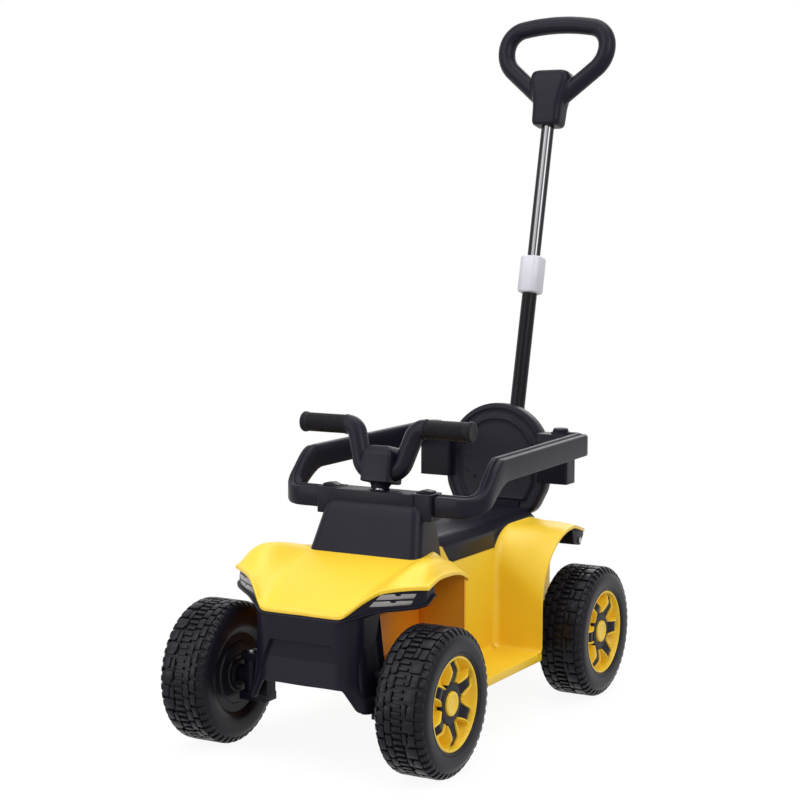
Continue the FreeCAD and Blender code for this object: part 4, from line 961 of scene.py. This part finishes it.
def makeLampBars():
    along = Vector(lamp["outer"]) - Vector(lamp["inner"])
    turn = math.atan2(along.y, along.x)
    place = Matrix.Translation((*lamp["inner"], 0)) @ Matrix.Rotation(turn, 4, "Z")
    for side, sign in (("left", 1), ("right", -1)):
        bm = bmesh.new()
        for level, outline in lamp["bars"]:
            strip = bmesh.new()
            skinRings(strip, [[(s, y, level + z) for s, z in outline] for y in lamp["face"]])
            softEdges(strip, *lamp["round"])
            joinInto(bm, strip)
        bmesh.ops.transform(bm, matrix=Matrix.Diagonal((sign, 1, 1, 1)) @ place, verts=bm.verts)
        addPiece(side + "LampPiece", bm, "silver_trim", "body", side + "_lamp_bars")


makeLampBars()
print("lamps made")


# handlebar and grips, in the leaning column's frame; stem levels are (height, half width, half depth, corner)
bar = {
    "place": Matrix.Translation((0, -157.1, 320.0)) @ Matrix.Rotation(math.radians(-12), 4, "X"),
    "path": [(0, 18), (27, 18, 18), (45, 75, 16), (58, 75)], "radius": 12.5, "swell": (1.2, 3), "sides": 28,
    "stem": [(-5.0, 11.6, 11.6, 11.2), (-1.5, 12, 12, 11.6), (1.5, 14, 14, 13.5), (2.2, 19, 17.5, 4),
             (3.5, 21, 19.5, 4), (34, 21, 19.5, 4), (42, 20.6, 19, 4), (48.5, 15.5, 13.5, 4),
             (49.6, 13.5, 11.5, 4), (50, 10, 8, 3)],
}
# a grip's profile: its collar, one rib over a share of the ribs' pitch, and its end measured from the tip
grip = {
    "start": 57.0, "level": 75.0, "length": 68.5, "ribs": 14, "ribsFrom": 3.4, "ribsShort": 12.0, "steps": 48,
    "collar": [(9.0, 0), (12.6, 0), (13.1, 0.6), (13.1, 2.4), (12.6, 3.2)],
    "rib": [(11.5, 0.10), (11.5, 0.34), (12.3, 0.48), (12.5, 0.68), (12.3, 0.88)],
    "end": [(12.4, -6.6), (13.4, -5.0), (13.5, -2.2), (12.6, -0.6), (11.0, 0), (9.0, -0.3), (0, -0.5)],
}


def makeHandlebar():
    bm = bmesh.new()
    stackRings(bm, bar["stem"], 5)
    swell, soon = bar["swell"]
    for sign in (1, -1):
        path = [Vector((sign * p.x, 0, p.y)) for p in roundedPath(bar["path"], False, 12)]
        tubeAlong(bm, path, lambda t: bar["radius"] + swell * (1 - smoothStep(t * soon)), bar["sides"])
    bmesh.ops.transform(bm, matrix=bar["place"], verts=bm.verts)
    addPiece("handlebarPiece", bm, "black_plastic", "steering", "handlebar", angle=45)


def makeGrips():
    pitch = (grip["length"] - grip["ribsShort"]) / grip["ribs"]
    profile = list(grip["collar"])
    for i in range(grip["ribs"]):
        profile += [(r, grip["ribsFrom"] + (i + share) * pitch) for r, share in grip["rib"]]
    profile += [(r, grip["length"] + z) for r, z in grip["end"]]
    for side, sign in (("left", 1), ("right", -1)):
        bm = bmesh.new()
        turned(bm, profile, grip["steps"], False)
        outward = Matrix.Rotation(sign * math.pi / 2, 4, "Y")
        place = bar["place"] @ Matrix.Translation((sign * grip["start"], 0, grip["level"])) @ outward
        bmesh.ops.transform(bm, matrix=place, verts=bm.verts)
        addPiece(side + "GripPiece", bm, "grip_rubber", "steering", side + "_grip", angle=50)


makeHandlebar()
makeGrips()
print("handlebar made")


# backrest: rings of (inset, depth) stepping in from a round-topped outline, and crescents of (x, z, turn)
rest = {
    "place": Matrix.Translation((0, 166.9, 240.0)) @ Matrix.Rotation(math.radians(-5), 4, "X"),
    "outline": [(60, 0, 26), (79, 40, 46), (79, 157, 78.4)], "least": 2.0,
    "rings": [(2.0, 20.0), (0.5, 19.2), (0, 17.5), (0, 4.0), (0.6, 1.8), (2.0, 0.5), (4.2, 0), (7.0, 0),
              (7.8, 0.2), (8.6, 0.8), (9.4, 1.1), (20.0, 1.2), (20.5, 1.0), (21.1, 0.3), (21.9, 0.1),
              (22.7, 0.3), (23.3, 1.0), (23.8, 1.2), (30.0, 1.2)],
    "marks": [(-47, 74, 20), (-49, 56, 40), (-38, 50, 75)], "markRadius": 5.0, "markThick": 1.1,
    "markSweep": 110, "markDepth": 0.9, "markSteps": 10,
    "footX": 40.0, "footY": (166.9, 182.9), "footZ": (216.0, 258.0),
}


def insetCorners(corners, inset):
    # every side of a counter-clockwise outline moved inwards, with its corner rounds cut back as much
    moved = []
    count = len(corners)
    for i, corner in enumerate(corners):
        here = Vector(corner[:2])
        before = (here - Vector(corners[i - 1][:2])).normalized()
        after = (Vector(corners[(i + 1) % count][:2]) - here).normalized()
        left = Vector((-before.y, before.x)) + Vector((-after.y, after.x))
        place = here + left * inset / (1 + before.dot(after))
        moved.append((place.x, place.y, max(rest["least"], corner[2] - inset)))
    return moved


def makeBackrest():
    bm = bmesh.new()
    corners = symmetric(rest["outline"])
    rings = []
    for inset, y in rest["rings"]:
        rings.append([(p.x, y, p.y) for p in roundedPath(insetCorners(corners, inset), True, 18)])
    skinRings(bm, rings)
    radius, steps = rest["markRadius"], rest["markSteps"]
    for sign in (1, -1):
        for x, z, lean in rest["marks"]:
            turns = [math.radians(lean + rest["markSweep"] * (k / steps - 0.5)) for k in range(steps + 1)]
            path = [Vector((sign * (x + radius * math.sin(a)), rest["markDepth"], z + radius * math.cos(a)))
                    for a in turns]
            tubeAlong(bm, path, rest["markThick"], 10)
    bmesh.ops.transform(bm, matrix=rest["place"], verts=bm.verts)
    wide, (front, back) = rest["footX"], rest["footY"]
    foot = [(-wide, front), (wide, front), (wide, back), (-wide, back)]
    skinRings(bm, [[(x, y, z) for x, y in foot] for z in rest["footZ"]])
    addPiece("backrestPiece", bm, "black_plastic", "body", "backrest", angle=35)


makeBackrest()
print("backrest made")


# push handle: a loop and its block, skinned together, in the leaning pole's frame
push = {
    "place": Matrix.Translation((0, 202.9, 216.0)) @ Matrix.Rotation(math.radians(-13.2), 4, "X"),
    "loop": [(10, 634), (86, 698, 42), (77, 743, 31)], "top": (0, 757, 300), "radius": 13.0, "sides": 28,
    "block": [(595.5, 18, 13, 7), (597, 21, 16, 9), (601, 22.6, 17.6, 9), (626, 23.4, 19, 10),
              (648, 27.4, 19.8, 10), (662, 30.8, 20, 10), (671, 31, 19.6, 10), (676.5, 29, 18, 9),
              (679.5, 24, 14, 8), (680.5, 16, 9, 5)],
    "voxel": 1.5, "smooth": 10,
}
# the collar where the pole's two tubes meet, as (height, inset)
collar = {
    "levels": [(343, 3.0), (344.2, 1.0), (347, 0), (394, 0), (396.8, 1.0), (398, 3.0)],
    "half": 16.8, "corner": 11.0,
}


def makePushHandle():
    bm = bmesh.new()
    stackRings(bm, push["block"], 6)
    left = [(-x, *others) for x, *others in push["loop"]]
    corners = left + [push["top"]] + list(reversed(push["loop"]))
    path = [Vector((p.x, 0, p.y)) for p in roundedPath(corners, False, 12)]
    tubeAlong(bm, path, push["radius"], push["sides"])
    bmesh.ops.transform(bm, matrix=push["place"], verts=bm.verts)
    piece = addPiece("pushHandlePiece", bm, "black_plastic", "handle", "push_handle", angle=60)
    blend = piece.modifiers.new("blend", "REMESH")
    blend.mode = "VOXEL"
    blend.voxel_size = push["voxel"] * mm
    blend.use_smooth_shade = True
    relax = piece.modifiers.new("relax", "SMOOTH")
    relax.factor = 0.5
    relax.iterations = push["smooth"]


def makeCollar():
    bm = bmesh.new()
    half, corner = collar["half"], collar["corner"]
    stackRings(bm, [(z, half - inset, half - inset, corner - inset / 2) for z, inset in collar["levels"]], 8)
    bmesh.ops.transform(bm, matrix=push["place"], verts=bm.verts)
    addPiece("collarPiece", bm, "white_plastic", "body", "tube_collar")


makePushHandle()
makeCollar()
print("push handle made")


# guard arms: one section swept from the bridge round to the socket, rising behind the front bend;
# the low and high edges are (start, rise, where it begins along y, length)
guard = {
    "plan": [(84.3, -161.1), (141.0, -161.1, 28), (135.0, 175.9, 8), (117.4, 175.9)], "samples": 170,
    "low": (286.0, 40.0, -166.0, 82.0), "high": (314.2, 44.0, -160.0, 62.0), "climb": 4.0, "back": 185.0,
    "outerFoot": [(6.6, 0), (8.2, 0.6), (9, 2.4)], "innerFoot": [(-9, 2.4), (-8.2, 0.6), (-6.6, 0)],
    "crown": [(9, -6.4), (8.4, -4.2), (6.8, -2.7), (1.8, -1.9), (1.0, -2.2), (0.5, -3.4), (-0.5, -3.4),
              (-1.0, -1.3), (-2.0, -0.3), (-3.6, 0), (-6.0, -0.1), (-8.0, -1.1), (-9, -3.4)],
    "plugs": [((64.0, 88.0), -161.1, 297.0), ((93.0, 121.0), 175.9, 341.0)],
    "plugHalf": 7.0, "plugRound": (1, 2),
}


def guardLevel(values, y):
    start, rise, place, length = values
    end = place + length
    climb = guard["climb"] * min(1, max(0, (y - end) / (guard["back"] - end)))
    return start + rise * smoothStep((y - place) / length) + climb


def makeGuardArm(side, sign):
    bm = bmesh.new()
    rings = []
    for p, along in alongPath(resample(roundedPath(guard["plan"], False, 24), guard["samples"])):
        out = Vector((along.y, -along.x))
        low, high = guardLevel(guard["low"], p.y), guardLevel(guard["high"], p.y)
        section = []
        for level, points in ((low, guard["outerFoot"]), (high, guard["crown"]), (low, guard["innerFoot"])):
            section += [(v, level + z) for v, z in points]
        rings.append([(sign * (p.x + out.x * v), p.y + out.y * v, z) for v, z in section])
    skinRings(bm, rings)
    half = guard["plugHalf"]
    for ends, y, z in guard["plugs"]:
        start, end = sorted(sign * x for x in ends)
        tongue = softBox((start, y - half, z - half), (end, y + half, z + half), *guard["plugRound"])
        joinInto(bm, tongue)
    addPiece(side + "GuardPiece", bm, "black_plastic", side + "_guard", side + "_guard_arm", angle=40)


makeGuardArm("left", 1)
makeGuardArm("right", -1)
print("guard arms made")

# solids whose shape is right, shown with rounded edges: node, the body that it rides on, width of the round
softSolids = [
    ("seat", "body", 2.0), ("guard_bridge", "body", 1.5),
    ("left_guard_socket", "body", 1.5), ("right_guard_socket", "body", 1.5),
    ("left_guard_latch", "left_latch", 0.8), ("right_guard_latch", "right_latch", 0.8),
    ("left_guard_button", "left_button", 0.8), ("right_guard_button", "right_button", 0.8),
    ("left_tail_bracket", "body", 1.0), ("right_tail_bracket", "body", 1.0),
    ("pole_socket", "body", 1.0), ("front_axle_beam", "body", 1.5),
    ("left_knuckle", "left_steer", 1.0), ("right_knuckle", "right_steer", 1.0), ("tie_rod", "tie_rod", 0.8),
]
for node, body, width in softSolids:
    softCopy(node, width, 3, body)
print("soft copies made")


# studio, in metres
studio = {
    "camera": {"place": (1.1673, -2.1690, 0.6593), "lens": 82.47, "tilt": 84.35, "turn": 29.51, "roll": 0.13},
    "floor": {"size": 30.0, "drop": 0.0005, "white": 0.92, "shade": 0.09, "bounce": 0.5, "near": 0.55,
              "far": 1.5},
    "air": 0.50,
    "lamps": {
        "keyBox": {"place": (-1.3, -2.1, 2.7), "aim": (0, -0.1, 0.25), "size": 2.0, "power": 36},
        "frontBox": {"place": (-1.6, -2.9, 0.75), "aim": (0, -0.3, 0.12), "size": 1.4, "power": 21},
        "topBox": {"place": (0.1, 0.2, 3.0), "aim": (0, 0, 0.2), "size": 2.2, "power": 40},
        "sideBox": {"place": (2.2, -1.0, 2.1), "aim": (0, 0, 0.2), "size": 1.8, "power": 33},
        "backBox": {"place": (-0.6, 2.6, 2.0), "aim": (0, 0.1, 0.4), "size": 1.6, "power": 18},
    },
}


def lookRays(tree):
    # one where the camera, a mirror or glass sees the surface, and nought elsewhere
    path = addNode(tree, "LightPath").outputs
    first = addNode(tree, "Math", {0: path["Is Camera Ray"], 1: path["Is Glossy Ray"]}, operation="MAXIMUM")
    both = addNode(tree, "Math", {0: first.outputs[0], 1: path["Is Transmission Ray"]}, operation="MAXIMUM")
    return both.outputs[0]


def floorMaterial(values):
    # looked at, it is white with the object's shadow, and plain white further off; its light is a grey's
    material = bpy.data.materials.new("paleFloor")
    material.use_nodes = True
    tree = material.node_tree
    tree.nodes.remove(tree.nodes["Principled BSDF"])

    def grey(level):
        return addNode(tree, "BsdfDiffuse", {"Color": (level, level, level, 1)}).outputs[0]

    def glow(level):
        return addNode(tree, "Emission", {"Strength": level}).outputs[0]

    def mixed(share, first, second):
        return addNode(tree, "MixShader", {0: share, 1: first, 2: second}).outputs[0]

    shaded = addNode(tree, "AddShader", {0: grey(values["shade"]), 1: glow(values["white"])}).outputs[0]
    place = addNode(tree, "TexCoord").outputs["Object"]
    reach = addNode(tree, "VectorMath", {0: place}, operation="LENGTH").outputs["Value"]
    fade = addNode(tree, "MapRange", {"Value": reach, "From Min": values["near"], "From Max": values["far"]},
                   interpolation_type="SMOOTHSTEP").outputs["Result"]
    seen = mixed(fade, shaded, glow(1))
    surface = mixed(lookRays(tree), grey(values["bounce"]), seen)
    tree.links.new(surface, tree.nodes["Material Output"].inputs["Surface"])
    return material


def makeFloor():
    values = studio["floor"]
    bm = bmesh.new()
    bmesh.ops.create_grid(bm, x_segments=1, y_segments=1, size=values["size"])
    mesh = bpy.data.meshes.new("floor")
    bm.to_mesh(mesh)
    bm.free()
    floor = bpy.data.objects.new("floor", mesh)
    scene.collection.objects.link(floor)
    floor.location.z = -values["drop"]
    mesh.materials.append(floorMaterial(values))


def makeCamera():
    view = studio["camera"]
    data = bpy.data.cameras.new("photoView")
    data.lens = view["lens"]
    data.sensor_width = 36
    data.clip_end = 100
    camera = bpy.data.objects.new("photoView", data)
    scene.collection.objects.link(camera)
    turn = Matrix.Rotation(math.radians(view["turn"]), 4, "Z")
    tilt = Matrix.Rotation(math.radians(view["tilt"]), 4, "X")
    roll = Matrix.Rotation(math.radians(view["roll"]), 4, "Z")
    camera.matrix_world = Matrix.Translation(view["place"]) @ turn @ tilt @ roll
    scene.camera = camera


def makeLights():
    for name, lamp in studio["lamps"].items():
        light = bpy.data.lights.new(name, "AREA")
        light.size = lamp["size"]
        light.energy = lamp["power"]
        holder = bpy.data.objects.new(name, light)
        scene.collection.objects.link(holder)
        holder.location = lamp["place"]
        aim = Vector(lamp["aim"]) - Vector(lamp["place"])
        holder.rotation_euler = aim.to_track_quat("-Z", "Y").to_euler()
    world = bpy.data.worlds.new("studioAir")
    world.use_nodes = True
    scene.world = world
    tree = world.node_tree
    back = tree.nodes["Background"].inputs
    back["Color"].default_value = (1, 1, 1, 1)
    level = addNode(tree, "MapRange", {"Value": lookRays(tree), "To Min": studio["air"], "To Max": 1})
    tree.links.new(level.outputs["Result"], back["Strength"])


makeCamera()
makeLights()
makeFloor()
scene.view_settings.view_transform = "Standard"
print("studio placed")
